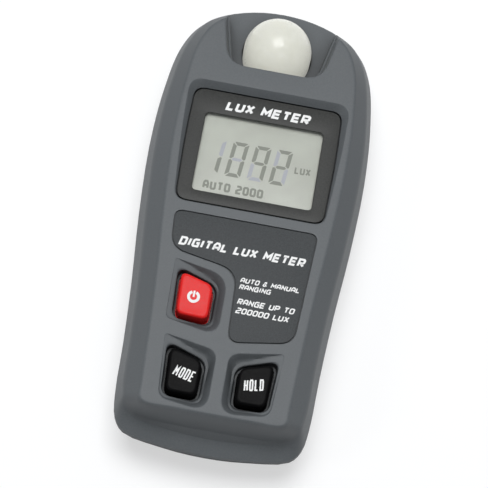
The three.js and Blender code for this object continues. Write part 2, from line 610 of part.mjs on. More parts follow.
function addBoard() {
  const { bottomZ, topZ, halfWidth, bottomY, topY } = BOARD;
  const holes = BOARD_SCREW_PLACES.map(([x, y]) =>
    drum(BOARD_SCREW.shankRadius + GAP, bottomZ - 1, topZ + 1, x, y, 16));
  add('main_board', cut(prism(roundedRectangle(-halfWidth, halfWidth, bottomY, topY, 1.2), bottomZ, topZ),
    ...holes), GREEN_BOARD);
  const under = bottomZ - GAP;
  add('meter_chip', block(
    -CHIP.halfWidth, CHIP.halfWidth, CHIP.bottomY, CHIP.topY, under - CHIP.thickness, under,
  ), CHIP_BLACK);
  const crystal = new THREE.CylinderGeometry(CRYSTAL.radius, CRYSTAL.radius, CRYSTAL.length, 16)
    .translate(CRYSTAL.x, CRYSTAL.y, under - CRYSTAL.radius);
  add('clock_crystal', crystal, STEEL);
  for (const [k, side] of [-1, 1].entries()) {
    const route = new THREE.CatmullRomCurve3([
      new THREE.Vector3(side * BATTERY_LEAD.x, 5, 7.5), new THREE.Vector3(side * BATTERY_LEAD.x, 6.8, 9),
      new THREE.Vector3(side * (BATTERY_LEAD.x - 0.1), 7.6, 11.6),
      new THREE.Vector3(side * (BATTERY_LEAD.x - 0.3), 7.8, 15.4),
    ]);
    add(`battery_lead_${k + 1}`, wire(route, BATTERY_LEAD.radius, 10), k ? BLACK_WIRE : RED_WIRE);
  }
}

// ---------------------------------------------------------------- power

class ConeHelix extends THREE.Curve {
  constructor(startRadius, endRadius, length, turns) {
    super();
    Object.assign(this, { startRadius, endRadius, length, turns });
  }

  getPoint(t, target = new THREE.Vector3()) {
    const angle = t * this.turns * Math.PI * 2;
    const radius = THREE.MathUtils.lerp(this.startRadius, this.endRadius, t);
    return target.set(radius * Math.cos(angle), t * this.length, radius * Math.sin(angle));
  }
}

/** A cell lying along +Y from its flat negative end to its nub. */
function cell() {
  const { length, radius, nub, nubRadius } = CELL;
  return new THREE.LatheGeometry([
    [0, 0], [radius - 0.7, 0], [radius - 0.5, 0.25], [radius, 0.5], [radius, length - nub - 0.5],
    [radius - 0.5, length - nub], [nubRadius, length - nub], [nubRadius, length - 0.2],
    [nubRadius - 0.3, length], [0, length],
  ].map(([r, y]) => new THREE.Vector2(r, y)), 20);
}

function addPower() {
  const wallGap = 0.25;
  for (const [k, x] of [-CELL.pitch, 0, CELL.pitch].entries()) {
    const up = k !== 1; // the middle cell lies the other way round
    const turn = up ? 0 : Math.PI;
    const springEnd = up ? BAY.bottomY : BAY.topY;
    const plateEnd = up ? BAY.topY : BAY.bottomY;
    const toMiddle = up ? 1 : -1;

    const battery = add(`battery_${k + 1}`, cell(), CELL_JACKET);
    battery.position.set(x, springEnd + toMiddle * 4.1, CELL.z);
    battery.rotation.z = turn;

    const helix = new ConeHelix(SPRING.bigRadius, SPRING.smallRadius, SPRING.length, SPRING.turns);
    const spring = add(`contact_spring_${k + 1}`, wire(helix, SPRING.wire / 2, 30, 6), STEEL);
    spring.position.set(x, springEnd + toMiddle * 0.1, CELL.z);
    spring.rotation.z = turn;

    const plate = add(`contact_plate_${k + 1}`, join(
      block(-3.6, 3.6, -0.45 + wallGap, wallGap, -3.7, 3.9),
      new THREE.CylinderGeometry(1.6, 1.9, 0.5, 16).translate(0, -0.35, 0),
    ), BRASS);
    plate.position.set(x, plateEnd, CELL.z);
    plate.rotation.z = turn;
  }
}

function addDoor() {
  add('battery_door', batteryDoor(), GREY_ABS);
}

// ---------------------------------------------------------------- screws

/** A pan-head screw pointing up from its head, with a cross recess in the head. */
function screw({ headRadius, headHeight, shankRadius, tipZ }, headTopZ) {
  const seat = headTopZ;
  const body = turned([
    [0, seat - headHeight], [headRadius * 0.7, seat - headHeight],
    [headRadius, seat - headHeight * 0.6], [headRadius, seat], [shankRadius, seat],
    [shankRadius, tipZ - 1], [0, tipZ],
  ], 16);
  const arm = [headRadius * 0.55, headRadius * 0.13, seat - headHeight - 1, seat - headHeight * 0.45];
  const [long, thin, low, high] = arm;
  return cut(body, block(-long, long, -thin, thin, low, high), block(-thin, thin, -long, long, low, high));
}

function addScrews() {
  CASE_SCREW_PLACES.forEach(([x, y], k) => {
    const shape = screw({ ...CASE_SCREW, tipZ: caseScrewTipZ(y) }, CASE_SCREW.seatZ);
    const mesh = add(`case_screw_${k + 1}`, shape, STEEL);
    mesh.position.set(x, y, 0);
  });
  BOARD_SCREW_PLACES.forEach(([x, y], k) => {
    const mesh = add(`board_screw_${k + 1}`, screw(BOARD_SCREW, BOARD.bottomZ - 0.1), STEEL);
    mesh.position.set(x, y, 0);
  });
}

add('front_shell', frontShell(), GREY_ABS);
add('rear_shell', rearShell(), GREY_ABS);
addDoor();
addDisplay();
addLabel();
addButtons();
addSensor();
addBoard();
addPower();
addScrews();

export default meter;
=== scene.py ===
import math

import bmesh
import bpy
import numpy as np
from mathutils import Matrix, Vector
from mathutils.geometry import delaunay_2d_cdt


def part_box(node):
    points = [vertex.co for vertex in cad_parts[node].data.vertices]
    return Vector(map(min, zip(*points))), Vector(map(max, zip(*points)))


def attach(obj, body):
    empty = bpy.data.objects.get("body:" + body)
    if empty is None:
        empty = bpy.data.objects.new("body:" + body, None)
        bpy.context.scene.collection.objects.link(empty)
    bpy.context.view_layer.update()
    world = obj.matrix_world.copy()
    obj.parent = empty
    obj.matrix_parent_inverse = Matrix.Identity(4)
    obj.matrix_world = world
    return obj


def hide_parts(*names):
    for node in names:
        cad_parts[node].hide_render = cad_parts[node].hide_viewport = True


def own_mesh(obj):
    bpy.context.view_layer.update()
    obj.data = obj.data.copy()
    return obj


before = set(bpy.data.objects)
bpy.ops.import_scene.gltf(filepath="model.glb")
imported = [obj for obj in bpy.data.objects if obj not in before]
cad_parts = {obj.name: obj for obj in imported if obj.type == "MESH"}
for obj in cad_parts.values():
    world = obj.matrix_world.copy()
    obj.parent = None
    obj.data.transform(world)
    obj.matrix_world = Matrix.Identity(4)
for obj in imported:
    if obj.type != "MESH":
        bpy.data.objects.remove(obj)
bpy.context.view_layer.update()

# Handheld light meter. Lengths are millimetres until a mesh is made; the frame is the CAD's:
# X is the width, +Y points to the sensor end, +Z out of the face and Z = 0 is the flat back.
MM = 0.001

# ---- dimensions

# Most are the CAD's. The ceiling, the chin's edge, the notch's rounding, the window, the label's
# gap, the pockets' edge, the keys' clearance and the buttons' top are this model's own.

GAP = 0.3  # between neighbouring parts
FACE_Z = 25.0
WALL_TOP_Z = 20.5
RIM_Z = 12.65  # the front shell's lower edge
CEILING_Z = 21.2  # the underside of the face
WALL = 2.0

# Right halves of the outlines at the parting line, at the wall's top and at the face, each from
# the sensor end to the lower end.
PARTING = [
    (0, 60.65), (8, 59.8), (15.5, 57.2), (21.4, 53), (25.1, 46), (27.3, 33), (28, 17), (27.1, -2),
    (25.5, -20), (24.5, -36), (24, -49), (22.9, -55), (20.4, -58.1), (11, -60), (0, -60.65),
]
WALL_TOP = [
    (0, 57.2), (8, 56.3), (14.4, 54), (19.3, 50.8), (23, 44.4), (25.3, 32.5), (26.1, 17),
    (25.2, -2), (23.6, -20), (22.6, -36), (22.1, -48), (21, -53), (18.7, -55.5), (10, -56.8),
    (0, -57.15),
]
FACE = [
    (0, 53.6), (8, 53), (13.4, 51.4), (17.2, 48.5), (20.1, 42.6), (21.6, 31), (21.95, 16),
    (21, -2), (19.5, -20), (18.5, -36), (17.9, -48), (17.6, -52.4), (16.4, -53.5), (9, -53.7),
    (0, -53.75),
]
SPANS = len(PARTING) - 1
# The lower end is hollowed: the wall's top is drawn in and lowered there, as in the CAD.
CHIN_START, CHIN_FULL, CHIN_PULL, CHIN_DROP = 51.0, 56.2, 1.3, 4.4
CHIN_LIFT = 1.0  # height of the upright edge under the chin, which the CAD leaves out

NOTCH_CORNER_X, NOTCH_BOTTOM_Y = 12.1, 38.15
NOTCH_MOUTH_X, NOTCH_MOUTH_Y = 17.6, 64.0
NOTCH_ROUND = 4.8  # a little rounder than the CAD's

DOME_Y, DOME_Z, DOME_RADIUS, DOME_SKIRT_Z, DOME_SHELL = 48.1, 16.0, 8.85, 11.9, 1.2

PANEL_BOTTOM_Y, PANEL_BOTTOM_Z = -0.6, 24.85
PANEL_LENGTH, PANEL_HALF, PANEL_DROP, PANEL_THICK = 31.2, 19.0, 1.35, 1.2
TILT = -math.asin(PANEL_DROP / PANEL_LENGTH)
WINDOW_HALF, WINDOW_LOW, WINDOW_HIGH, WINDOW_ROUND = 15.05, 3.05, 24.9, 1.3
LCD_HALF, LCD_LOW, LCD_HIGH, LCD_DEPTH, LCD_THICK = 16.9, 2.3, 28.1, 1.5, 2.0
LCD_OPENING_HALF = LCD_HALF + GAP
PANE_GAP, PANE_Z = 0.03, (-0.85, -0.25)  # the clear window's, which is only in this model

# Corners are [x, y, rounding].
LABEL_CORNERS = [
    (-17.7, -3.8, 2.2), (17.6, -3.8, 2.2), (16, -32.3, 3.4), (0.6, -34.9, 3.0),
    (-0.1, -16.6, 4.6), (-17, -13.6, 3.6),
]
LABEL_THICK, LABEL_RECESS, LABEL_GAP = 0.3, 0.45, 0.12  # the gap is below the film

POWER_CAP = [(-13.4, -19.4, 1.9), (-5.2, -21.7, 1.9), (-5.2, -30.5, 1.8), (-12.9, -30.2, 1.8)]
POWER_WELL = [
    (-15.6, -16.1, 1.2), (-2.1, -18.6, 4.6), (-2.1, -33.9, 4.4), (-15.2, -31.5, 1.2),
]
MODE_CAP = [(-12.6, -38.6, 1.9), (-4.5, -40.9, 1.9), (-4.7, -49.6, 1.8), (-12, -49.5, 1.8)]
MODE_WELL = [(-14.6, -35.4, 1.2), (-1.5, -37.6, 2.6), (-1.5, -52.8, 4.4), (-13.4, -51.3, 2.4)]
WELL_DEPTH = 2.2
POCKET_WIDER, POCKET_Z, POCKET_EDGE = 0.92, 22.0, 0.3
KEY_CLEARANCE = 0.36
BUTTON_TOP_Z, FLANGE_Z, FLANGE_THICK, FLANGE = 25.92, 19.9, 1.0, 0.8


def mirrored(corners):
    """The corners on the other side of the case."""
    return [(-x, y, r) for x, y, r in corners]


HOLD_CAP, HOLD_WELL = mirrored(MODE_CAP), mirrored(MODE_WELL)


def add_object(name, data):
    """A new object in the scene."""
    made = bpy.data.objects.new(name, data)
    bpy.context.scene.collection.objects.link(made)
    return made


# ---- camera

AZIMUTH, ELEVATION, ROLL = (math.radians(a) for a in (-1.40, 69.0, 11.77))
AIM = Vector((0.33, -4.9, 13.0)) * MM
DISTANCE = 440.6 * MM
FOCAL_LENGTH, SENSOR_WIDTH = 129.3, 36.0
CLIP_START, CLIP_END = 0.01, 20.0


def add_camera():
    """The camera at the viewing angle of the reference view, rolled like it."""
    data = bpy.data.cameras.new("camera")
    data.lens, data.sensor_width = FOCAL_LENGTH, SENSOR_WIDTH
    data.clip_start, data.clip_end = CLIP_START, CLIP_END
    turn = (
        Matrix.Rotation(AZIMUTH, 4, "Z")
        @ Matrix.Rotation(math.pi / 2 - ELEVATION, 4, "X")
        @ Matrix.Rotation(ROLL, 4, "Z")
    )
    camera = add_object("camera", data)
    camera.matrix_world = Matrix.Translation(AIM) @ turn @ Matrix.Translation((0, 0, DISTANCE))
    bpy.context.scene.camera = camera


# ---- flat curves


def closed_curve(knots, steps):
    """Points on a closed centripetal Catmull-Rom curve, with the same number on each span."""
    b = np.array(knots, float)
    a, c, d = np.roll(b, 1, 0), np.roll(b, -1, 0), np.roll(b, -2, 0)
    ab, bc, cd = (
        np.sqrt(np.linalg.norm(q - p, axis=1))[:, None] for p, q in ((a, b), (b, c), (c, d))
    )
    start = ((b - a) / ab - (c - a) / (ab + bc) + (c - b) / bc) * bc
    end = ((c - b) / bc - (d - b) / (bc + cd) + (d - c) / cd) * bc
    t = (np.arange(steps) / steps)[None, :, None]
    b, c, start, end = (v[:, None, :] for v in (b, c, start, end))
    cubic = 2 * b - 2 * c + start + end
    square = -3 * b + 3 * c - 2 * start - end
    return (((cubic * t + square) * t + start) * t + b).reshape(-1, 2)


FINE = 48  # points to a span when an outline is looked up
LIMIT_X, LIMIT_Y = 27.999, 60.649  # just inside the CAD's box


def right_half(half):
    """The outline's right half as fine points from the lower end to the sensor end."""
    right = [tuple(p) for p in reversed(half)]
    left = [(-x, y) for x, y in reversed(right[1:-1])]
    fine = closed_curve(right + left, FINE)[: SPANS * FINE + 1]
    return np.clip(fine, (0, -LIMIT_Y), (LIMIT_X, LIMIT_Y))


def outward(points):
    """The unit normals of a right half outline, pointing out of the case."""
    along = np.gradient(points, axis=0)
    normals = np.stack([along[:, 1], -along[:, 0]], 1)
    normals[0], normals[-1] = (0, -1), (0, 1)
    return normals / np.linalg.norm(normals, axis=1)[:, None]


def smoothstep(values):
    """Values that rise smoothly from 0 to 1 and stay there."""
    t = np.clip(values, 0, 1)
    return t * t * (3 - 2 * t)


P_CURVE, W_CURVE, F_CURVE = right_half(PARTING), right_half(WALL_TOP), right_half(FACE)
CHIN = smoothstep((-W_CURVE[:, 1] - CHIN_START) / (CHIN_FULL - CHIN_START))
W_CURVE[:, 1] += CHIN_PULL * CHIN
W_HEIGHT = WALL_TOP_Z - CHIN_DROP * CHIN
P_NORMAL, F_NORMAL = outward(P_CURVE), outward(F_CURVE)
T_FINE = np.arange(SPANS * FINE + 1) / FINE


def at(curve, t):
    """Points of a right half outline at positions counted in spans; negative ones are mirrored."""
    found = np.stack([np.interp(np.abs(t), T_FINE, curve[:, k]) for k in (0, 1)], 1)
    found[:, 0] *= np.where(t < 0, -1, 1)
    return found


def quadratic(a, b, c, t):
    """The point or points at t on a curve that leaves a towards b and ends at c."""
    return a * (1 - t) ** 2 + b * 2 * t * (1 - t) + c * t**2


def bend(a, b, c, steps):
    """Points along the quadratic curve from a to c that heads for b."""
    t = np.linspace(0, 1, steps + 1)[:, None]
    return quadratic(*(np.asarray(p, float) for p in (a, b, c)), t)


def rounded(corners, arc=8, straight=6):
    """A closed ring of points with straight sides and rounded corners, each [x, y, rounding]."""
    count = len(corners)
    spots = []
    for i, (x, y, r) in enumerate(corners):
        corner = np.array((x, y), float)
        for beside in (corners[i - 1], corners[(i + 1) % count]):
            to = np.array(beside[:2], float) - corner
            spots.append(corner + to / np.linalg.norm(to) * r)
    points = []
    for i, (x, y, _) in enumerate(corners):
        before, after = spots[2 * i], spots[2 * i + 1]
        following = spots[(2 * i + 2) % (2 * count)]
        points.extend(bend(before, (x, y), after, arc))
        points.extend(after + (following - after) * k / straight for k in range(1, straight))
    return np.array(points)


def grown(corners, distance):
    """The corners of an outline whose sides are moved outwards by a distance."""
    following = corners[1:] + corners[:1]
    area = sum(a[0] * b[1] - b[0] * a[1] for a, b in zip(corners, following))
    side = 1 if area > 0 else -1
    out = []
    for i, (x, y, r) in enumerate(corners):
        px, py, _ = corners[i - 1]
        nx, ny, _ = corners[(i + 1) % len(corners)]
        into = Vector((x - px, y - py)).normalized()
        leave = Vector((nx - x, ny - y)).normalized()
        normal = Vector((into.y + leave.y, -into.x - leave.x)).normalized() * side
        reach = distance / max(0.3, side * (normal.x * into.y - normal.y * into.x))
        out.append((x + normal.x * reach, y + normal.y * reach, max(0.2, r + distance * 0.6)))
    return out


def rectangle(x0, x1, y0, y1, r):
    """The corners of an upright rectangle."""
    return [(x0, y0, r), (x1, y0, r), (x1, y1, r), (x0, y1, r)]


def smooth_min(a, b, k):
    """The lower of two values, blended where they are less than k apart."""
    blend = np.maximum(k - np.abs(a - b), 0) / k
    return np.minimum(a, b) - blend * blend * k / 4


def inside(points, ring):
    """Which flat points lie inside a closed ring."""
    a, b = ring[None], np.roll(ring, -1, 0)[None]
    x, y = points[:, 0:1], points[:, 1:2]
    crosses = (a[..., 1] > y) != (b[..., 1] > y)
    rise = np.where(b[..., 1] == a[..., 1], 1, b[..., 1] - a[..., 1])
    where = a[..., 0] + (y - a[..., 1]) * (b[..., 0] - a[..., 0]) / rise
    return (crosses & (x < where)).sum(1) % 2 == 1


# ---- making meshes


SLIVER = 1e-4  # a patch is dropped if twice its largest triangle is less, in square millimetres
WELD, NO_LENGTH = 2e-6, 1e-6  # metres: points this close are joined, edges this short removed


def rolled(radius, steps):
    """Steps round a quarter circle: how far in each one is, and how far below the top."""
    for angle in np.linspace(0, math.pi / 2, steps + 1)[1:]:
        yield radius * (1 - math.cos(angle)), radius * (1 - math.sin(angle))


def patches(faces, walls):
    """The groups of triangles that touch without a wall edge between them."""
    beside = {}
    for i, face in enumerate(faces):
        for k in range(3):
            beside.setdefault(frozenset((face[k - 1], face[k])), []).append(i)
    group = [-1] * len(faces)
    found = []
    for first in range(len(faces)):
        if group[first] >= 0:
            continue
        group[first] = len(found)
        patch = [first]
        for i in patch:
            face = faces[i]
            for k in range(3):
                edge = frozenset((face[k - 1], face[k]))
                for j in () if edge in walls else beside[edge]:
                    if group[j] < 0:
                        group[j] = group[first]
                        patch.append(j)
        found.append(patch)
    return found


class Solid:
    """Collects the faces of a closed mesh, in millimetres, and makes the piece."""

    def __init__(self):
        self.points, self.faces = [], []

    def strip(self, rows, closed=True):
        """Quads between neighbouring rows of points. A closed row joins its last to its first."""
        for a, b in zip(rows, rows[1:]):
            base, count = len(self.points), len(a)
            self.points.extend(map(tuple, a))
            self.points.extend(map(tuple, b))
            for i in range(count if closed else count - 1):
                j = (i + 1) % count
                self.faces.append((base + i, base + j, base + count + j, base + count + i))

    def sheet(self, outer, holes=()):
        """A face across a ring of points and around its holes, from their own points."""
        rings = [np.asarray(r, float) for r in (outer, *holes)]
        stack = np.concatenate(rings)
        edges, start = [], 0
        for ring in rings:
            count = len(ring)
            edges += [(start + i, start + (i + 1) % count) for i in range(count)]
            start += count
        flat = [Vector(p[:2]) for p in stack]
        _, lines, faces, origin, fixed, _ = delaunay_2d_cdt(flat, edges, [], 0, 1e-5)
        points = np.array([stack[o[0]] for o in origin])
        walls = {frozenset(line) for line, source in zip(lines, fixed) if source}
        base = len(self.points)
        self.points.extend(map(tuple, points))
        for patch in patches(faces, walls):
            corners = points[[list(faces[i]) for i in patch], :2]
            u, v = corners[:, 1] - corners[:, 0], corners[:, 2] - corners[:, 0]
            areas = np.abs(u[:, 0] * v[:, 1] - u[:, 1] * v[:, 0])
            middle = corners[areas.argmax()].mean(0)[None]
            around = sum(int(inside(middle, ring[:, :2])[0]) for ring in rings)
            if areas.max() > SLIVER and around == 1:
                self.faces.extend(tuple(base + k for k in faces[i]) for i in patch)

    def plate(self, outer, holes, z0, z1):
        """A thin flat solid with the given outline and holes."""
        low = [lifted(ring, z0) for ring in (outer, *holes)]
        high = [lifted(ring, z1) for ring in (outer, *holes)]
        for a, b in zip(low, high):
            self.strip([a, b])
        self.sheet(low[0], low[1:])
        self.sheet(high[0], high[1:])

    def fan(self, ring, middle):
        """Triangles from a ring of points to one point."""
        base, count = len(self.points), len(ring)
        self.points.extend(map(tuple, ring))
        self.points.append(tuple(middle))
        for i in range(count):
            self.faces.append((base + i, base + (i + 1) % count, base + count))

    def revolve(self, profile, x, y, count):
        """A surface turned round an upright axis, from [radius, z] points up to one on the axis."""
        turn = np.linspace(0, math.tau, count, endpoint=False)
        ring = np.column_stack([np.cos(turn), np.sin(turn)])
        rows = [lifted(ring * radius + (x, y), z) for radius, z in profile[:-1]]
        self.strip(rows)
        self.fan(rows[-1], (x, y, profile[-1][1]))

    def prism(self, ring, z0, z1, bevel):
        """A solid block over a flat ring, its upper edge rounded."""
        rows = [lifted(ring, z0), lifted(ring, z1 - bevel)]
        centre = ring.mean(0)
        away = (ring - centre) / np.linalg.norm(ring - centre, axis=1)[:, None]
        rows += [lifted(ring - away * reach, z1 - down) for reach, down in rolled(bevel, 3)]
        self.strip(rows)
        self.sheet(rows[0])
        self.sheet(rows[-1])

    def make(self, name, body, slot, material, sharp=32, place=None, replaces=()):
        """The mesh as a piece that rides on a body."""
        mesh = bpy.data.meshes.new(name)
        bm = bmesh.new()
        points = np.array(self.points, float)
        if place:
            points = place(points)
        verts = [bm.verts.new(Vector(p) * MM) for p in points]
        for face in self.faces:
            corners = [verts[i] for i in face]
            if len(set(corners)) > 2:
                bm.faces.new(corners)
        bmesh.ops.remove_doubles(bm, verts=bm.verts, dist=WELD)
        bmesh.ops.dissolve_degenerate(bm, edges=bm.edges, dist=NO_LENGTH)
        loose = [edge for edge in bm.edges if not edge.link_faces]
        bmesh.ops.delete(bm, geom=loose, context="EDGES")
        bmesh.ops.recalc_face_normals(bm, faces=bm.faces)
        if bm.calc_volume(signed=True) < 0:
            bmesh.ops.reverse_faces(bm, faces=bm.faces)
        limit = math.radians(sharp)
        for face in bm.faces:
            face.smooth = True
        for edge in bm.edges:
            edge.smooth = len(edge.link_faces) == 2 and edge.calc_face_angle(0) < limit
        bm.to_mesh(mesh)
        bm.free()
        mesh.materials.append(material)
        piece = add_object(name, mesh)
        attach(piece, body)
        if replaces:
            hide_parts(*replaces)
        return piece


def lifted(ring, z):
    """A flat ring at a height, or at one height for each of its points."""
    return np.column_stack([ring, np.broadcast_to(z, len(ring))])


def on_display(points):
    """Points in the display's tilted plane, in the frame of the object."""
    x, y, z = np.asarray(points, float).T
    c, s = math.cos(TILT), math.sin(TILT)
    return np.column_stack([
        x, PANEL_BOTTOM_Y + y * c - z * s, PANEL_BOTTOM_Z + y * s + z * c])


# ---- materials


def linear(rgb):
    """A display colour, 0 to 255, as scene-linear values."""
    out = []
    for value in rgb:
        v = value / 255
        out.append(v / 12.92 if v <= 0.04045 else ((v + 0.055) / 1.055) ** 2.4)
    return (*out, 1.0)


PLASTIC_IOR = 1.46
PAINTED_SHADE_REACH = 4.5  # how near the walls are that darken a recess with painted shade
CLOSED_IN, OPEN = 0.3, 0.97  # the openness at which a recess's painted shade is darkest, and where it ends


def set_range(node, start, end, low, high):
    """Sets what a Map Range node maps from, and to."""
    values = {"From Min": start, "From Max": end, "To Min": low, "To Max": high}
    for key, value in values.items():
        node.inputs[key].default_value = value


class Finish:
    """A node material around one Principled shader, in object coordinates."""

    def __init__(self, name, roughness, **constants):
        self.material = bpy.data.materials.new(name)
        self.material.use_nodes = True
        self.tree = self.material.node_tree
        self.shader = self.tree.nodes["Principled BSDF"]
        constants = {"Roughness": roughness, "IOR": PLASTIC_IOR, **constants}
        for key, value in constants.items():
            self.shader.inputs[key.replace("_", " ")].default_value = value
        self.coordinates = self.node("ShaderNodeTexCoord").outputs["Object"]
        self.height = None

    def node(self, kind, **settings):
        """A new node of a kind, with its settings."""
        node = self.tree.nodes.new(kind)
        for key, value in settings.items():
            setattr(node, key, value)
        return node

    def link(self, source, target):
        """Connects an output to an input."""
        self.tree.links.new(source, target)

    def noise(self, size_mm, detail=3.0, distortion=0.0, stretch=(1, 1, 1)):
        """Noise with features of about this size."""
        mapping = self.node("ShaderNodeMapping")
        mapping.inputs["Scale"].default_value = tuple(k / (size_mm * MM) for k in stretch)
        self.link(self.coordinates, mapping.inputs["Vector"])
        noise = self.node("ShaderNodeTexNoise")
        noise.inputs["Scale"].default_value = 1.0
        noise.inputs["Detail"].default_value = detail
        noise.inputs["Distortion"].default_value = distortion
        self.link(mapping.outputs["Vector"], noise.inputs["Vector"])
        return noise.outputs["Fac"]

    def cells(self, size_mm):
        """The distance to the nearest of scattered points this far apart."""
        cells = self.node("ShaderNodeTexVoronoi")
        cells.inputs["Scale"].default_value = 1 / (size_mm * MM)
        self.link(self.coordinates, cells.inputs["Vector"])
        return cells.outputs["Distance"]

    def spread(self, source, low, high, start=0.35, end=0.65):
        """A value moved from one range to another."""
        node = self.node("ShaderNodeMapRange")
        self.link(source, node.inputs["Value"])
        set_range(node, start, end, low, high)
        return node.outputs["Result"]

    def blend(self, factor, a, b, mode="MIX"):
        """A mix of two colours, each a socket, a linear colour or a display colour, 0 to 255."""
        node = self.node("ShaderNodeMix", data_type="RGBA", blend_type=mode)
        slots = [s for s in node.inputs if s.type == "RGBA"]
        for slot, value in zip(slots, (a, b)):
            if isinstance(value, tuple):
                slot.default_value = value if len(value) == 4 else linear(value)
            else:
                self.link(value, slot)
        if isinstance(factor, float):
            node.inputs["Factor"].default_value = factor
        else:
            self.link(factor, node.inputs["Factor"])
        return next(s for s in node.outputs if s.type == "RGBA")

    def mottled(self, source, a, b, most=1.0, start=0.35, end=0.65):
        """Colour a, which turns up to this far into colour b as a value rises."""
        return self.blend(self.spread(source, 0, most, start, end), a, b)

    def painted_shade_in_recesses(self, source, share):
        """A colour darkened by up to this share in corners and grooves: painted shade where the
        surroundings are hidden.
        """
        node = self.node("ShaderNodeAmbientOcclusion", samples=8)
        node.inputs["Distance"].default_value = PAINTED_SHADE_REACH * MM
        level = self.spread(node.outputs["AO"], 1 - share, 1.0, CLOSED_IN, OPEN)
        return self.blend(1.0, source, level, "MULTIPLY")

    def colour(self, source):
        """The base colour comes from this output."""
        self.link(source, self.shader.inputs["Base Color"])

    def rough(self, source, low, high):
        """The roughness comes from this output, spread between two values."""
        self.link(self.spread(source, low, high), self.shader.inputs["Roughness"])

    def bump(self, source, depth_mm, strength):
        """Adds relief of about this depth on top of what is there."""
        node = self.node("ShaderNodeBump")
        node.inputs["Strength"].default_value = strength
        node.inputs["Distance"].default_value = depth_mm * MM
        self.link(source, node.inputs["Height"])
        if self.height is not None:
            self.link(self.height, node.inputs["Normal"])
        self.height = node.outputs["Normal"]
        self.link(self.height, self.shader.inputs["Normal"])


def shade(colour, factor):
    """A linear colour made darker or lighter."""
    return tuple(min(1.0, value * factor) for value in colour[:3]) + (1.0,)


def moulded(name, rgb, roughness, grain=0.35, depth=0.02, contrast=0.12, painted_shade_share=0.0, **constants):
    """Moulded plastic: spark-eroded grain, faint flow marks and uneven gloss, with painted shade in
    recesses when a share of it is given.
    """
    finish = Finish(name, roughness, **constants)
    base = linear(rgb)
    grains = finish.noise(grain, detail=4)
    flow = finish.noise(14, detail=2, distortion=0.6)
    dark, light = shade(base, 1 - contrast), shade(base, 1 + contrast)
    fine = finish.mottled(grains, dark, light, start=0.3, end=0.7)
    broad = finish.mottled(flow, fine, shade(base, 0.94))
    colour = finish.blend(0.25, fine, broad)
    # Painted shade: the colour is made darker in corners, grooves and recesses.
    finish.colour(finish.painted_shade_in_recesses(colour, painted_shade_share) if painted_shade_share else colour)
    finish.rough(grains, roughness - 0.05, roughness + 0.07)
    finish.bump(finish.noise(grain * 0.6, detail=3), depth, 0.8)
    finish.bump(flow, 0.03, 0.4)
    return finish.material


def printed(name, rgb):
    """Screen-printed ink: slightly uneven cover and gloss."""
    finish = Finish(name, 0.6)
    base = linear(rgb)
    cover = finish.noise(0.18, detail=3)
    finish.colour(finish.mottled(cover, shade(base, 0.9), base))
    finish.rough(cover, 0.54, 0.7)
    finish.bump(cover, 0.004, 0.6)
    return finish.material


def metal(name, rgb, roughness):
    """Plated metal with fine marks and tarnish."""
    finish = Finish(name, roughness, Metallic=1.0)
    base = linear(rgb)
    marks = finish.noise(0.25, detail=4)
    tarnish = finish.noise(3, detail=3)
    worn = finish.mottled(tarnish, base, shade(base, 0.78))
    finish.colour(finish.mottled(marks, worn, shade(base, 0.7), most=0.35))
    finish.rough(marks, roughness - 0.06, roughness + 0.12)
    finish.bump(marks, 0.006, 0.5)
    return finish.material


def film(name, rgb, specks, roughness):
    """Printed film: a dark ground with fine light specks."""
    finish = Finish(name, roughness, Specular_IOR_Level=0.2)
    base = linear(rgb)
    grain = finish.noise(0.3, detail=4)
    points = finish.cells(0.34)
    ground = finish.mottled(grain, shade(base, 0.78), shade(base, 1.2))
    finish.colour(finish.blend(finish.spread(points, 0.6, 0, 0.05, 0.2), ground, specks))
    finish.rough(grain, roughness - 0.08, roughness + 0.08)
    finish.bump(grain, 0.012, 0.7)
    return finish.material


def diffuser():
    """The opal dome: milky plastic with painted light, an emission that makes it glow though it is
    no lamp, and a very faint moulding swirl.
    """
    finish = Finish(
        "opal_plastic", 0.3, Specular_IOR_Level=0.15, Coat_Weight=0.45, Coat_Roughness=0.16,
        Subsurface_Weight=1.0, Subsurface_Scale=0.009, Subsurface_Radius=(1.0, 0.95, 0.8),
        # Painted light: the emission makes the dome glow, though nothing lights it from within.
        Emission_Color=(1.0, 1.0, 0.93, 1), Emission_Strength=0.36,
    )
    swirl = finish.noise(5, detail=3, distortion=1.2)
    fine = finish.noise(0.5, detail=3)
    milk = finish.mottled(swirl, (152, 153, 148), (147, 148, 142))
    finish.colour(finish.mottled(fine, milk, (143, 145, 135), most=0.3))
    finish.rough(fine, 0.24, 0.38)
    finish.bump(swirl, 0.05, 0.3)
    finish.bump(fine, 0.006, 0.5)
    return finish.material


def crystal_glass():
    """The display's ground: pale grey-green, with a fine reflector grain and faint clouds."""
    finish = Finish("lcd_ground", 0.35, Specular_IOR_Level=0.2)
    grain = finish.noise(0.22, detail=3)
    cloud = finish.noise(9, detail=2)
    ground = finish.mottled(grain, (172, 174, 166), (163, 166, 157), most=0.5)
    finish.colour(finish.mottled(cloud, ground, (188, 192, 183), most=0.4))
    finish.rough(grain, 0.25, 0.4)
    finish.bump(grain, 0.004, 0.4)
    return finish.material


def clear_window():
    """The thin clear window: nearly invisible, with a glossy face."""
    finish = Finish("clear_window", 0.25, Alpha=0.05, Specular_IOR_Level=0.2)
    smear = finish.noise(6, detail=4, distortion=0.8)
    finish.colour(finish.mottled(smear, (214, 220, 214), (200, 206, 200)))
    finish.rough(smear, 0.2, 0.32)
    finish.bump(smear, 0.01, 0.2)
    return finish.material


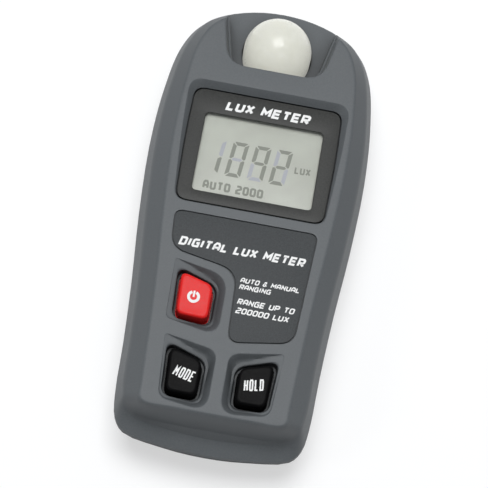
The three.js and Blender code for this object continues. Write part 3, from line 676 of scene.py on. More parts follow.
def circuit_board():
    """Green solder mask over copper tracks."""
    finish = Finish("solder_mask", 0.35, Coat_Weight=0.4)
    tracks = finish.node("ShaderNodeTexBrick")
    tracks.inputs["Scale"].default_value = 260
    tracks.inputs["Mortar Size"].default_value = 0.035
    finish.link(finish.coordinates, tracks.inputs["Vector"])
    colours = {"Color1": (22, 96, 52), "Color2": (26, 108, 58), "Mortar": (72, 142, 70)}
    for key, colour in colours.items():
        tracks.inputs[key].default_value = linear(colour)
    cloud = finish.noise(4, detail=3)
    finish.colour(finish.mottled(cloud, tracks.outputs["Color"], (18, 84, 46), most=0.4))
    finish.rough(cloud, 0.28, 0.42)
    finish.bump(tracks.outputs["Fac"], 0.03, 0.6)
    return finish.material


def cell_jacket():
    """A printed blue foil sleeve with faint streaks along the cell."""
    finish = Finish("cell_jacket", 0.28, Metallic=0.6)
    grain = finish.noise(0.4, detail=3)
    sleeve = finish.mottled(grain, (40, 82, 128), (52, 98, 146))
    streaks = finish.noise(2.5, detail=2, stretch=(1, 0.08, 1))
    finish.colour(finish.mottled(streaks, sleeve, (30, 60, 100), most=0.3))
    finish.rough(grain, 0.22, 0.36)
    finish.bump(grain, 0.008, 0.4)
    return finish.material


# The case's colour carries painted shade in its corners, grooves and recesses.
CASE = moulded(
    "case_grey", (88, 92, 95), 0.5, grain=0.4, depth=0.014, contrast=0.09, painted_shade_share=0.7,
    Specular_IOR_Level=0.3,
)
PANEL = film("panel_print", (52, 53, 52), (84, 86, 84), 0.42)
LABEL = film("label_print", (61, 64, 66), (92, 95, 98), 0.55)
RED = moulded(
    "red_cap", (212, 34, 33), 0.4, grain=0.5, depth=0.01, contrast=0.05, Specular_IOR_Level=0.2,
)
BLACK = moulded(
    "black_cap", (8, 8, 9), 0.5, grain=0.3, depth=0.016, contrast=0.15, Specular_IOR_Level=0.08,
)
OPAL = diffuser()
LCD_GROUND = crystal_glass()
LCD_DARK = printed("lcd_segment", (118, 121, 112))
LCD_FAINT = printed("lcd_segment_faint", (158, 161, 170))
WINDOW_CLEAR = clear_window()
WHITE_INK = printed("white_ink", (232, 233, 233))
WHITE = moulded("white_plastic", (226, 226, 220), 0.5, contrast=0.04)
RUBBER = moulded("zebra_rubber", (30, 30, 30), 0.75, grain=0.2, depth=0.03)
SILICONE = moulded("silicone", (196, 199, 192), 0.6, grain=0.6, contrast=0.05)
BOARD = circuit_board()
CHIP = moulded("chip_black", (22, 22, 22), 0.5, grain=0.25, depth=0.01)
STEEL = metal("plated_steel", (188, 191, 194), 0.3)
BRASS = metal("spring_brass", (200, 166, 96), 0.32)
FILTER = moulded("filter_glass", (92, 152, 104), 0.12, grain=2.0, depth=0.002, contrast=0.05)
JACKET = cell_jacket()
RED_WIRE = moulded("red_wire", (178, 30, 30), 0.5, grain=0.4, contrast=0.06)
BLACK_WIRE = moulded("black_wire", (22, 22, 22), 0.5, grain=0.4)


# ---- front shell

# The notch wall from the face down: how far it stands in from the notch's edge, and its height.
# Its steps are only in this model.
NOTCH_PROFILE = [
    (0.0, FACE_Z), (0.2, 24.2), (0.75, 22.3), (0.85, 22.1), (1.2, 22.05), (1.36, 21.85),
    (1.44, 21.4), (1.5, 19.0), (1.7, RIM_Z),
]
NOTCH_IN, NOTCH_Z = np.array(NOTCH_PROFILE).T
NOTCH_MORE_Z = (22.4, 21.1, 20.6, 19.8, 17, 15, 13.6)  # more heights for the wall's rows
NOTCH_SLOPE = (NOTCH_MOUTH_X - NOTCH_CORNER_X) / (NOTCH_MOUTH_Y - NOTCH_BOTTOM_Y)
SIDE_X, SIDE_Y = np.array((1, -NOTCH_SLOPE)) / math.hypot(1, NOTCH_SLOPE)
EDGE = 0.35  # rounding along the edge of the notch
INNER_DRAFT = 0.6  # how much thicker the wall is at the top of its inside
RING_STEPS = 8  # points to a span of the outline
FLIP = np.array((-1, 1, 1))  # to the other side of the case

RIM_EDGE = [(0.15, 0.0), (0.04, 0.06)]  # the rim's edge: how far in, and how high
CHIN_LIFT_BY = 0.06  # share of the wall at which the upright edge has its full height
WALL_ROWS = (0.03, 0.08, 0.14, 0.25, 0.5, 0.75, 0.95)
SLOPE_ROWS = (0.08, 0.35, 0.7, 0.93)
# Shares of the wall and the slope that are straight, and the face's rounding, each as it is
# elsewhere and over the chin.
WALL_TO, SLOPE_FROM, SLOPE_TO = (0.87, 0.83), (0.155, 0.185), (0.907, 0.647)
FACE_FILLET = (0.6, 0.9)


def notch_inset(z):
    """How far the notch's wall stands in at a height."""
    return np.interp(z, NOTCH_Z[::-1], NOTCH_IN[::-1])


def side_x(y, inset, offset=0.0):
    """X of the notch's right side at a height along it, moved into the case by an offset."""
    return NOTCH_CORNER_X - inset + offset / SIDE_X + (y - NOTCH_BOTTOM_Y) * NOTCH_SLOPE


def crossing(curve, inset, offset):
    """Where a right half outline meets the notch's side, counted in spans."""
    beyond = (
        (curve[:, 0] - NOTCH_CORNER_X + inset) * SIDE_X
        + (curve[:, 1] - NOTCH_BOTTOM_Y) * SIDE_Y - offset
    )
    last = np.nonzero(beyond > 0)[0][-1]
    share = beyond[last] / (beyond[last] - beyond[last + 1])
    return (last + share) / FINE


def notch_path(inset, offset, top_y, side=12, arc=10, bottom=12):
    """Flat points along the notch's edge from its right side to its left, without its ends."""
    low = NOTCH_BOTTOM_Y - offset
    corner = np.array((side_x(low, inset, offset), low))
    mouth = np.array((side_x(NOTCH_MOUTH_Y, inset, offset), NOTCH_MOUTH_Y))
    length = NOTCH_ROUND + 0.8 * offset
    along = (mouth - corner) / np.linalg.norm(mouth - corner)
    start = corner + along * length
    ys = np.linspace(top_y, start[1], side + 1)[1:-1]
    straight = np.column_stack([side_x(ys, inset, offset), ys])
    turn = bend(start, corner, corner - (length, 0), arc)
    xs = np.linspace(turn[-1][0], 0, bottom // 2 + 1)[1:]
    right = np.concatenate([straight, turn, np.column_stack([xs, np.full_like(xs, low)])])
    left = right[-2::-1] * (-1, 1)
    return np.concatenate([right, left])


def by_chin(values):
    """A value along the outline that turns from its usual one to the chin's."""
    usual, over_chin = values
    return usual + (over_chin - usual) * CHIN


def shell_levels():
    """The outside of the front shell from the rim up to the face: curves with their heights."""
    rim = (P_CURVE, np.full(CHIN.shape, RIM_Z))
    top = (W_CURVE, W_HEIGHT)
    face = (F_CURVE, np.full(CHIN.shape, FACE_Z))
    face_inner = (F_CURVE - F_NORMAL * by_chin(FACE_FILLET)[:, None], face[1])

    def between(low, high, share):
        share = np.broadcast_to(share, CHIN.shape)
        curve = low[0] + (high[0] - low[0]) * share[:, None]
        return curve, low[1] + (high[1] - low[1]) * share

    def wall(share):
        curve, heights = between(rim, top, share)
        lift = CHIN_LIFT * CHIN * (1 - share) * np.minimum(share / CHIN_LIFT_BY, 1)
        return curve, heights + lift

    def bent(low, middle, high):
        for t in np.linspace(0, 1, 10):
            yield tuple(quadratic(low[k], middle[k], high[k], t) for k in (0, 1))

    wall_end, slope_start, slope_end = map(by_chin, (WALL_TO, SLOPE_FROM, SLOPE_TO))
    slope_rows = [slope_start + (slope_end - slope_start) * share for share in SLOPE_ROWS]
    return [
        *((P_CURVE - P_NORMAL * inwards, rim[1] + up) for inwards, up in RIM_EDGE),
        *(wall(wall_end * share) for share in WALL_ROWS),
        *bent(wall(wall_end), top, between(top, face, slope_start)),
        *(between(top, face, share) for share in slope_rows),
        *bent(between(top, face, slope_end), face, face_inner),
    ]


def outside_rows():
    """The shell's outside cut off at the notch, and where the notch's edge would be if sharp."""
    spread = np.linspace(-1, 1, 2 * SPANS * RING_STEPS + 1)
    rows, corners = [], []
    for curve, heights in shell_levels():
        z = heights[-1]
        inset = notch_inset(z)
        t = spread * crossing(curve, inset, EDGE)
        rows.append(lifted(at(curve, t), np.interp(np.abs(t), T_FINE, heights)))
        corner = at(curve, np.array([crossing(curve, inset, 0)]))[0]
        corners.append(np.append(corner, z))
    return rows, np.array(corners)


def notch_rows(ends, corners):
    """The notch's rounded edge and its wall, along one horn, the notch and the other horn."""
    along = np.gradient(corners, axis=0)
    along /= np.linalg.norm(along, axis=1)[:, None]
    down = np.column_stack([np.zeros(len(corners)), -along[:, 2], along[:, 1]]) * EDGE
    down[down[:, 2] > 0] *= -1
    feet = corners + down
    feet[:, 2] = np.clip(feet[:, 2], RIM_Z, FACE_Z)
    feet[:, 1] = np.minimum.accumulate(feet[:, 1])
    feet[:, 0] = side_x(feet[:, 1], notch_inset(feet[:, 2]))

    def whole_row(horn, path, z):
        return np.concatenate([horn, lifted(path, z), horn[::-1] * FLIP])

    edge = []
    for t in np.linspace(0, 1, 6):
        horn = quadratic(ends, corners, feet, t)
        z = FACE_Z - EDGE * t**2
        path = notch_path(notch_inset(z) * t, EDGE * (1 - t) ** 2, horn[-1][1])
        edge.append(whole_row(horn, path, z))
    wall = [edge[-1]]
    for z in sorted({*NOTCH_Z[1:], *NOTCH_MORE_Z}, reverse=True):
        horn_z = np.minimum(feet[:, 2], z)
        horn = np.column_stack([side_x(feet[:, 1], notch_inset(horn_z)), feet[:, 1], horn_z])
        wall.append(whole_row(horn, notch_path(notch_inset(z), 0, feet[-1][1]), z))
    return edge, wall


def front_shell():
    """The front half of the case, with its notch and the openings in its face."""
    solid = Solid()
    outside, corners = outside_rows()
    edge, wall = notch_rows(np.array([row[-1] for row in outside]), corners)
    for rows in (outside, edge, wall):
        solid.strip(rows, closed=False)

    # The face with the openings of the display, the label and the buttons.
    display_rim, display_end = display_recess(solid)
    label_rim, label_floor = label_recess(solid)
    caps, wells = (POWER_CAP, MODE_CAP, HOLD_CAP), (POWER_WELL, MODE_WELL, HOLD_WELL)
    well_rims, well_ends = zip(*(button_well(solid, *pair) for pair in zip(caps, wells)))
    count = len(outside)
    face_edge = np.concatenate([outside[-1], edge[0][count:-count]])
    solid.sheet(face_edge, [display_rim, label_rim, *well_rims])
    solid.sheet(label_floor)

    # The rim, the inside of the wall and the underside of the face.
    tips = np.array([row[0] for row in edge[1:]])
    rim = np.concatenate([outside[0], tips, wall[-1][1:-1], tips[::-1] * FLIP])
    inner_low = inner_ring(drawn_in(P_CURVE, WALL), RIM_Z)
    inner_high = inner_ring(drawn_in(W_CURVE, WALL + INNER_DRAFT), CEILING_Z)
    solid.sheet(rim, [inner_low])
    solid.strip([inner_low, inner_high])
    solid.sheet(inner_high, [display_end, *well_ends])
    solid.make(
        "front_shell_moulding", "case", "case_plastic", CASE, replaces=("front_shell",))


CASE_HALF_WIDTH, CASE_HALF_LENGTH = 28, 60  # roughly


def drawn_in(curve, inset):
    """An outline scaled to stand in by about an inset all round."""
    return curve * (1 - inset / CASE_HALF_WIDTH, 1 - inset / CASE_HALF_LENGTH)


def inner_ring(curve, z):
    """The inside of the wall at one height, around the case and behind the notch."""
    inset = notch_inset(z)
    end_t = crossing(curve, inset, WALL)
    outer = at(curve, np.linspace(-1, 1, 2 * SPANS * 3 + 1) * end_t)
    path = notch_path(inset, WALL, outer[-1][1], side=6, arc=6, bottom=6)
    return lifted(np.concatenate([outer, path]), z)


def panel_corners(offset):
    """The display panel's outline in its own plane, moved out by an offset."""
    half = PANEL_HALF + offset
    low, high = -offset, PANEL_LENGTH + offset
    return [
        (-half + 0.6, low, 2.8 + offset / 2), (half - 0.6, low, 2.8 + offset / 2),
        (half, PANEL_LENGTH * 0.6, 6), (half - 0.3, high, 2.8 + offset / 2),
        (-half + 0.3, high, 2.8 + offset / 2), (-half, PANEL_LENGTH * 0.6, 6),
    ]


RECESS_FLARE = 3.0  # how far out the second outline stands that gives the recess's sides
RECESS_EDGE = 0.12  # rounding between the sides and the face


def display_recess(solid):
    """The sloped recess of the display. Gives its rim on the face and its opening below."""
    near, far = (rounded(panel_corners(GAP + out)) for out in (0, RECESS_FLARE))
    climb = (FACE_Z - PANEL_BOTTOM_Z - near[:, 1] * math.sin(TILT)) / math.cos(TILT)
    climb = climb / (1 + (far[:, 1] - near[:, 1]) / RECESS_FLARE * math.tan(TILT))
    floor = -PANEL_THICK - GAP
    rows = [on_display(lifted(near, z)) for z in (floor, -RECESS_EDGE)]
    steps = [(share, 0.0) for share in (0.0, 0.1, 0.5, 0.9)]
    steps += [(1.0, more) for more in (-0.06, 0.0, 0.06, 0.12, 0.2)]
    for share, more in steps:
        reach = np.maximum(climb * share + more, 0.0)
        flat = near + (far - near) * reach[:, None] / RECESS_FLARE
        row = on_display(lifted(flat, reach))
        on_slope = more < RECESS_EDGE
        row[:, 2] = smooth_min(row[:, 2], FACE_Z, RECESS_EDGE) if on_slope else FACE_Z
        rows.append(row)
    solid.strip(rows)
    opening = rectangle(-LCD_OPENING_HALF, LCD_OPENING_HALF, LCD_LOW - GAP, LCD_HIGH + GAP, 0.8)
    edge = on_display(lifted(rounded(opening, arc=3, straight=4), floor))
    solid.sheet(rows[0], [edge])
    below = edge.copy()
    below[:, 2] = CEILING_Z
    solid.strip([edge, below])
    return rows[-1], below


def label_recess(solid):
    """The shallow recess of the label. Gives its rim and its floor."""
    steps = [(0.3, 0), (0.12, 0), (0.04, -0.02), (0, -0.08), (0, -0.25), (0, -LABEL_RECESS)]
    rows = [lifted(rounded(grown(LABEL_CORNERS, 0.25 + out)), FACE_Z + z) for out, z in steps]
    solid.strip(rows)
    return rows[0], rows[-1]


WELL_CLOSE = 0.36  # share of a well's depth over which its side has close rows
WELL_SOFT = 0.35  # rounding of a well's edges, for each millimetre of its depth
POCKET_FOOT = [(0.06, 0.25), (0.1, 0.06), (0.2, 0.0)]  # a pocket's foot: how far in, how high


def well_floor(x, well):
    """Height of a well's sloped floor, which falls from its outer side to its inner one."""
    outer_x, inner_x = well[0][0], well[1][0]
    return FACE_Z - WELL_DEPTH * (x - outer_x) / (inner_x - outer_x)


def button_well(solid, cap, well):
    """A button's sloped well, its pocket and its hole. Gives its rim and the hole's lower end."""
    outlines = (well, grown(cap, POCKET_WIDER), grown(cap, KEY_CLEARANCE))
    rim, pocket, hole = (rounded(corners, arc=14, straight=10) for corners in outlines)
    length = np.linalg.norm(pocket - rim, axis=1)[:, None]
    way = (pocket - rim) / length
    depth = np.clip(FACE_Z - well_floor(rim[:, 0], well), 0.0, None)[:, None]
    close = np.clip(depth * WELL_CLOSE, 0.05, length * 0.8)
    fall = np.minimum(depth / close, 1)
    soft = np.clip(WELL_SOFT * depth[:, 0], 0.002, 0.16)

    rows = [lifted(rim - way * out, FACE_Z) for out in (0.3, 0.12)]
    stops = [close * share for share in (0, 0.06, 0.15, 0.3, 0.5, 0.7, 0.85, 0.94, 1)]
    stops += [close + (length - close) * share for share in (0.12, 0.3, 0.55)]
    for stop in stops:
        flat = rim + way * stop
        floor = well_floor(flat[:, 0], well)
        side = FACE_Z - (stop * fall)[:, 0]
        z = -smooth_min(-np.maximum(side, floor), -floor, soft)
        rows.append(lifted(flat, np.minimum(smooth_min(z, FACE_Z, soft), FACE_Z)))

    ledge = rows[-1]
    lip = lifted(pocket, np.minimum(well_floor(pocket[:, 0], well), FACE_Z))
    for t in np.linspace(0.1, 1, 6):
        row = ledge + (lip - ledge) * t
        row[:, 2] -= POCKET_EDGE * (1 - math.sqrt(1 - t**4))
        rows.append(row)
    inward = pocket.mean(0) - pocket
    inward /= np.linalg.norm(inward, axis=1)[:, None]
    rows += [lifted(pocket + inward * reach, POCKET_Z + up) for reach, up in POCKET_FOOT]
    rows += [lifted(hole, z) for z in (POCKET_Z, CEILING_Z)]
    solid.strip(rows)
    return rows[0], rows[-1]


# ---- lettering

# Strokes of plain square letters on a grid six high; a closed stroke ends where it starts.
GLYPHS = {
    "A": (4, [[(0, 0), (0, 4.3), (1.1, 6), (2.9, 6), (4, 4.3), (4, 0)], [(0.6, 2.2), (3.4, 2.2)]]),
    "D": (4, [[(0, 0), (0, 6), (3.2, 6), (4, 5.2), (4, 0.8), (3.2, 0), (0, 0)]]),
    "E": (4, [[(4, 6), (0, 6), (0, 0), (4, 0)], [(0.6, 3), (3.6, 3)]]),
    "G": (4, [[(4, 6), (0.8, 6), (0, 5.2), (0, 0.8), (0.8, 0), (4, 0), (4, 3.1), (2.2, 3.1)]]),
    "H": (4, [[(0, 0), (0, 6)], [(4, 0), (4, 6)], [(0.6, 3), (3.4, 3)]]),
    "I": (0.9, [[(0.45, 0), (0.45, 6)]]),
    "L": (3.6, [[(0, 6), (0, 0), (3.6, 0)]]),
    "M": (5, [[(0, 0), (0, 6), (2.5, 2.2), (5, 6), (5, 0)]]),
    "N": (4, [[(0, 0), (0, 6), (4, 0), (4, 6)]]),
    "O": (4, [[(0.8, 0), (0, 0.8), (0, 5.2), (0.8, 6), (3.2, 6), (4, 5.2), (4, 0.8), (3.2, 0),
               (0.8, 0)]]),
    "P": (4, [[(0, 0), (0, 6), (3.2, 6), (4, 5.2), (4, 3.3), (3.2, 2.5), (0.9, 2.5)]]),
    "R": (4, [[(0, 0), (0, 6), (3.2, 6), (4, 5.2), (4, 3.4), (3.2, 2.6), (0.9, 2.6)],
              [(2.0, 2.0), (4, 0)]]),
    "T": (4, [[(0, 6), (4, 6)], [(2, 5.4), (2, 0)]]),
    "U": (4, [[(0, 6), (0, 0.8), (0.8, 0), (3.2, 0), (4, 0.8), (4, 6)]]),
    "X": (4, [[(0, 0), (4, 6)], [(0, 6), (1.5, 3.75)], [(2.5, 2.25), (4, 0)]]),
    "2": (4, [[(0, 6), (3.2, 6), (4, 5.2), (4, 3.8), (0, 2.2), (0, 0), (4, 0)]]),
    "&": (4, [[(0.9, 3.7), (0.9, 5.4), (1.5, 6), (2.4, 6), (2.9, 5.4), (2.9, 3.7)],
              [(2.4, 0), (0.9, 0), (0, 0.8), (0, 2.3), (0.9, 3.0)], [(1.9, 3.0), (4, 0)]]),
}
GLYPHS["0"] = GLYPHS["O"]
WORD_SPACE = 3.4
CLEAR = 0.1  # gap between letters, for each millimetre of their height
INK = 0.035  # how far printing stands above its surface


def stroked(path, width):
    """The outline of a stroke along a path: one ring, or an outer and an inner one if closed."""
    points = np.array(path, float)
    closed = np.allclose(points[0], points[-1])
    if closed:
        points = points[:-1]
    into = points - np.roll(points, 1, 0)
    leave = np.roll(points, -1, 0) - points
    if not closed:
        into[0], leave[-1] = leave[0], into[-1]
    into /= np.linalg.norm(into, axis=1)[:, None]
    leave /= np.linalg.norm(leave, axis=1)[:, None]
    mean = into + leave
    mean /= np.maximum(np.linalg.norm(mean, axis=1)[:, None], 1e-9)
    normal = np.column_stack([-mean[:, 1], mean[:, 0]])
    full = np.maximum((mean * leave).sum(1), 0.15)
    short = np.maximum(full, 0.55)
    turns_left = into[:, 0] * leave[:, 1] - into[:, 1] * leave[:, 0] > 0
    left = points + normal * (width / 2 / np.where(turns_left, full, short))[:, None]
    right = points - normal * (width / 2 / np.where(turns_left, short, full))[:, None]
    if closed:
        return [left, right] if np.ptp(left[:, 0]) > np.ptp(right[:, 0]) else [right, left]
    return [np.concatenate([left, right[::-1]])]


def lettering(solid, text, low_left, width, height, z, stroke=0.2, slant=0.0, angle=0.0):
    """Raised printing of a line of text that fills a width and a height."""
    thick, clear = stroke * height, CLEAR * height
    letters = [GLYPHS[c] for c in text if c != " "]
    units = sum(wide for wide, _ in letters) + WORD_SPACE * text.count(" ")
    fixed = len(letters) * thick + (len(text) - 1) * clear + slant * height
    scale_x, scale_y = (width - fixed) / units, (height - thick) / 6
    turn = np.array([(math.cos(angle), math.sin(angle)), (-math.sin(angle), math.cos(angle))])
    x = 0.0
    for letter in text:
        if letter == " ":
            x += WORD_SPACE * scale_x + clear
            continue
        wide, strokes = GLYPHS[letter]
        for path in strokes:
            placed = [(px * scale_x, py * scale_y) for px, py in path]
            rings = []
            for ring in stroked(placed, thick):
                ring = ring + (x + thick / 2, thick / 2)
                ring[:, 0] += ring[:, 1] * slant
                rings.append(ring @ turn + low_left)
            solid.plate(rings[0], rings[1:], z, z + INK)
        x += wide * scale_x + thick + clear


# ---- display


def edged_rows(ring, low, high, bevel, grow):
    """Rows of a ring from low to high with a rounded upper edge. grow moves the ring out or in."""
    rows = [lifted(ring(0), low), lifted(ring(0), high - bevel)]
    return rows + [lifted(ring(grow * reach), high - down) for reach, down in rolled(bevel, 4)]


def window_ring(out):
    """The window opening's outline, moved out by a distance."""
    corners = rectangle(-WINDOW_HALF, WINDOW_HALF, WINDOW_LOW, WINDOW_HIGH, WINDOW_ROUND)
    return rounded(grown(corners, out))


def display_panel():
    """The dark display surround with its window opening, the clear window in it and its title."""
    surround = Solid()
    outer = edged_rows(lambda out: rounded(panel_corners(out)), -PANEL_THICK, 0, 0.15, -1)
    inner = edged_rows(window_ring, -PANEL_THICK, 0, 0.12, 1)
    surround.strip(outer)
    surround.strip(inner)
    surround.sheet(outer[0], [inner[0]])
    surround.sheet(outer[-1], [inner[-1]])
    surround.make(
        "display_surround", "case", "panel_plastic", PANEL, place=on_display,
        replaces=("display_panel",))

    pane = Solid()
    pane.prism(window_ring(-PANE_GAP), *PANE_Z, bevel=0.05)
    pane.make("display_window", "case", "panel_plastic", WINDOW_CLEAR, place=on_display)

    title = Solid()
    lettering(title, "LUX METER", (-10.5, 26.3), 21.9, 2.65, 0.0, stroke=0.25, slant=0.22)
    title.make("display_title", "case", "white_plastic", WHITE_INK, place=on_display)


SEGMENT, SEGMENT_GAP = 0.98, 0.11  # width of a display segment and the gap at its ends
DIGIT_HEIGHT, DIGIT_WIDTH, DIGIT_SLANT = 9.8, 4.0, 0.1
DIGITS_Y = 8.95
# Where each digit starts, and its dark and its faint segments, named a to g.
DIGITS = [(-13.5, "c", "b"), (-7.75, "abcdef", "g"), (-2.1, "abcfg", "de"), (3.4, "abdeg", "cf")]
SHOULDER = 2.4  # how much narrower the cell is below its middle, at the lower end


def segment_rings():
    """The seven segments of a digit, mitred where they meet."""
    wide, gap = SEGMENT, SEGMENT_GAP
    centre = DIGIT_HEIGHT / 2
    bar = np.array([
        (3 * gap, 0), (DIGIT_WIDTH - 3 * gap, 0),
        (DIGIT_WIDTH - wide - gap, wide), (wide + gap, wide),
    ])
    upright = np.array([
        (0, 3 * gap), (wide, wide + gap), (wide, centre - 0.5 * wide - gap),
        (0.4 * wide, centre - gap), (0, centre - 0.2 * wide - gap),
    ])
    half_middle = np.array([
        (0.62 * wide, 0), (1.15 * wide, 0.42 * wide),
        (DIGIT_WIDTH - 1.15 * wide, 0.42 * wide), (DIGIT_WIDTH - 0.62 * wide, 0),
    ])
    flip_x, flip_y = np.array((-1, 1)), np.array((1, -1))
    across, up = np.array((DIGIT_WIDTH, 0)), np.array((0, DIGIT_HEIGHT))
    middle = np.concatenate([half_middle, half_middle[2:0:-1] * flip_y]) + (0, centre)
    return {
        "a": bar * flip_y + up, "d": bar, "e": upright, "f": upright * flip_y + up,
        "c": upright * flip_x + across, "b": upright * -1 + across + up, "g": middle,
    }


def lcd():
    """The display cell on its reflector, with its segments and words."""
    cell = Solid()
    top = -LCD_DEPTH
    middle, bottom = top - LCD_THICK / 2, top - LCD_THICK
    for low, z0, z1 in ((LCD_LOW + SHOULDER, bottom, middle - 0.001), (LCD_LOW, middle, top)):
        corners = rectangle(-LCD_HALF, LCD_HALF, low, LCD_HIGH, 0.3)
        cell.prism(rounded(corners, arc=3, straight=4), z0, z1, bevel=0.08)
    cell.make("lcd_cell", "case", "lcd", LCD_GROUND, place=on_display, replaces=("lcd_glass",))

    dark, faint = Solid(), Solid()
    rings = segment_rings()
    for start, *shown in DIGITS:
        for solid, names in zip((dark, faint), shown):
            for name in names:
                ring = rings[name] + (start, DIGITS_Y)
                ring[:, 0] += rings[name][:, 1] * DIGIT_SLANT
                solid.plate(ring, [], top, top + INK)
    lettering(dark, "LUX", (9.4, 12.95), 4.05, 1.95, top, stroke=0.21)
    lettering(dark, "AUTO 2000", (-12.5, 4.5), 15.2, 2.4, top, stroke=0.23)
    dark.make("lcd_segments", "case", "lcd", LCD_DARK, place=on_display)
    faint.make("lcd_segments_faint", "case", "lcd", LCD_FAINT, place=on_display)


# ---- label


LABEL_SLANT, LABEL_TURN = 0.24, -0.006
# Each line of the label: its words, lower left corner, width, height and stroke.
LABEL_LINES = [
    ("DIGITAL LUX METER", (-15.6, -12.6), 31.6, 2.3, 0.24),
    ("AUTO & MANUAL", (0.85, -19.45), 14.9, 1.3, 0.22),
    ("RANGING", (0.85, -21.2), 8.0, 1.3, 0.22),
    ("RANGE UP TO", (1.0, -25.05), 14.3, 1.5, 0.22),
    ("200000 LUX", (1.0, -27.35), 13.3, 1.5, 0.22),
]


def label():
    """The printed film on the face, with its lines of text."""
    body = Solid()
    low = FACE_Z - LABEL_RECESS + LABEL_GAP
    high = low + LABEL_THICK
    rows = edged_rows(lambda out: rounded(grown(LABEL_CORNERS, out)), low, high, 0.08, -1)
    body.strip(rows)
    body.sheet(rows[0])
    body.sheet(rows[-1])
    body.make("label_film", "case", "label_film", LABEL, replaces=("face_label",))

    words = Solid()
    for text, place, width, height, stroke in LABEL_LINES:
        lettering(words, text, place, width, height, high, stroke, LABEL_SLANT, LABEL_TURN)
    words.make("label_text", "case", "white_plastic", WHITE_INK)


# ---- buttons


CAP_HALF = 4.0  # about half a cap's width
CROWN, UPPER_FALL = 0.08, 0.1  # how far the top falls to its sides, and towards its upper end
DISH_AT, DISH_LENGTH, DISH_DEPTH = 0.22, 0.2, 0.22  # the first two are shares of the length


def cap_top(flat, corners):
    """Height of a button's top: lightly crowned, with a dished lower part for the finger."""
    ys = [y for _, y, _ in corners]
    low, high = min(ys), max(ys)
    along = (flat[:, 1] - low) / (high - low)
    middle = sum(x for x, _, _ in corners) / len(corners)
    across = (flat[:, 0] - middle) / CAP_HALF
    dish = DISH_DEPTH * np.exp(-(((along - DISH_AT) / DISH_LENGTH) ** 2))
    fall = CROWN * across**2 + UPPER_FALL * np.clip(along - 0.5, 0, 1) ** 2
    return BUTTON_TOP_Z - fall - dish * np.clip(1 - across**2, 0, 1)


def on_cap(corners):
    """What places points, given by their height above a button's top, on that button."""

    def place(points):
        flat = points[:, :2]
        return lifted(flat, points[:, 2] + cap_top(flat, corners))

    return place


CAP_EDGE = 0.75  # rounding of a cap's upper edge
CAP_SIDE_Z = 23.5
CAP_MIDDLE = 2.3  # about the distance from a cap's inner outline to its centre
SUNK = 0.01  # how far printing on a cap starts below its surface


def towards_middle(ring, distance):
    """A ring drawn in towards its centre."""
    return ring + (ring.mean(0) - ring) * min(0.97, distance / CAP_MIDDLE)


def button(name, corners, material, slot):
    """A push button: a cap with rounded edges on a wider foot."""

    def shape(out):
        return rounded(grown(corners, out), arc=10, straight=8)

    foot_top = FLANGE_Z + FLANGE_THICK
    sides = [
        (FLANGE, FLANGE_Z), (FLANGE, foot_top - 0.1), (FLANGE - 0.1, foot_top), (0.15, foot_top),
        (0.03, foot_top + 0.12), (0, foot_top + 0.4), (0, CAP_SIDE_Z),
    ]
    rows = [lifted(shape(out), z) for out, z in sides]
    for reach, down in rolled(CAP_EDGE, 8):
        flat = shape(-reach)
        rows.append(lifted(flat, cap_top(flat, corners) - down))
    inner = shape(-1.25)
    tops = [shape(-0.95), inner]
    tops += [towards_middle(inner, distance) for distance in (0.35, 0.75, 1.25, 1.75, 2.15)]
    rows += [lifted(flat, cap_top(flat, corners)) for flat in tops]
    centre = tops[-1].mean(0)
    solid = Solid()
    solid.strip(rows)
    solid.sheet(rows[0])
    solid.fan(rows[-1], (*centre, cap_top(centre[None], corners)[0]))
    solid.make(f"{name}_key_cap", f"{name}_key", slot, material, replaces=(f"{name}_button",))


def legend(name, text, low_left, width, height, turn, corners):
    """A word printed on a button, turned by an angle in degrees."""
    solid = Solid()
    lettering(solid, text, low_left, width, height, -SUNK, 0.135, 0.1, math.radians(turn))
    solid.make(
        f"{name}_legend", f"{name}_key", "white_plastic", WHITE_INK, place=on_cap(corners))


SIGN_CENTRE, SIGN_RADIUS, SIGN_THICK = (-9.46, -25.5), 1.2, 0.7
SIGN_BAR, SIGN_BAR_LOW, SIGN_BAR_HIGH = 0.24, -0.1, 1.52  # half width, and its two ends
SIGN_GAP = 0.24


def power_sign():
    """The printed power sign: a bold ring, open at its upper end, round a bar."""
    opening = math.asin((SIGN_BAR + SIGN_GAP) / SIGN_RADIUS)
    turn = np.linspace(math.pi / 2 + opening, math.pi / 2 - opening + math.tau, 41)
    spokes = np.column_stack([np.cos(turn), np.sin(turn)])
    outer, inner = (spokes * (SIGN_RADIUS + side * SIGN_THICK / 2) for side in (1, -1))
    bar = np.array(rectangle(-SIGN_BAR, SIGN_BAR, SIGN_BAR_LOW, SIGN_BAR_HIGH, 0))[:, :2]
    solid = Solid()
    for ring in (np.concatenate([outer, inner[::-1]]), bar):
        solid.plate(ring + SIGN_CENTRE, [], -SUNK, INK)
    solid.make(
        "power_sign", "power_key", "white_plastic", WHITE_INK, place=on_cap(POWER_CAP))


# ---- sensor dome and rubber domes


def quarter(radius, z, steps):
    """Points [radius, z] of a dome from its base up to its top on the axis."""
    turn = np.linspace(0, math.pi / 2, steps + 1)
    points = [(radius * math.cos(a), z + radius * math.sin(a)) for a in turn[:-1]]
    return [*points, (0.0, z + radius)]


def sensor_dome():
    """The opal hemisphere on its short skirt."""
    outer = [(DOME_RADIUS, z) for z in (DOME_SKIRT_Z, 13.5, 15.2)]
    outer += quarter(DOME_RADIUS, DOME_Z, 32)
    inner_radius = DOME_RADIUS - DOME_SHELL
    inner = [outer[0], (inner_radius, DOME_SKIRT_Z), *quarter(inner_radius, DOME_Z, 16)]
    solid = Solid()
    for profile in (outer, inner):
        solid.revolve(profile, 0, DOME_Y, 96)
    solid.make("opal_dome", "case", "diffuser", OPAL, sharp=50, replaces=("sensor_dome",))


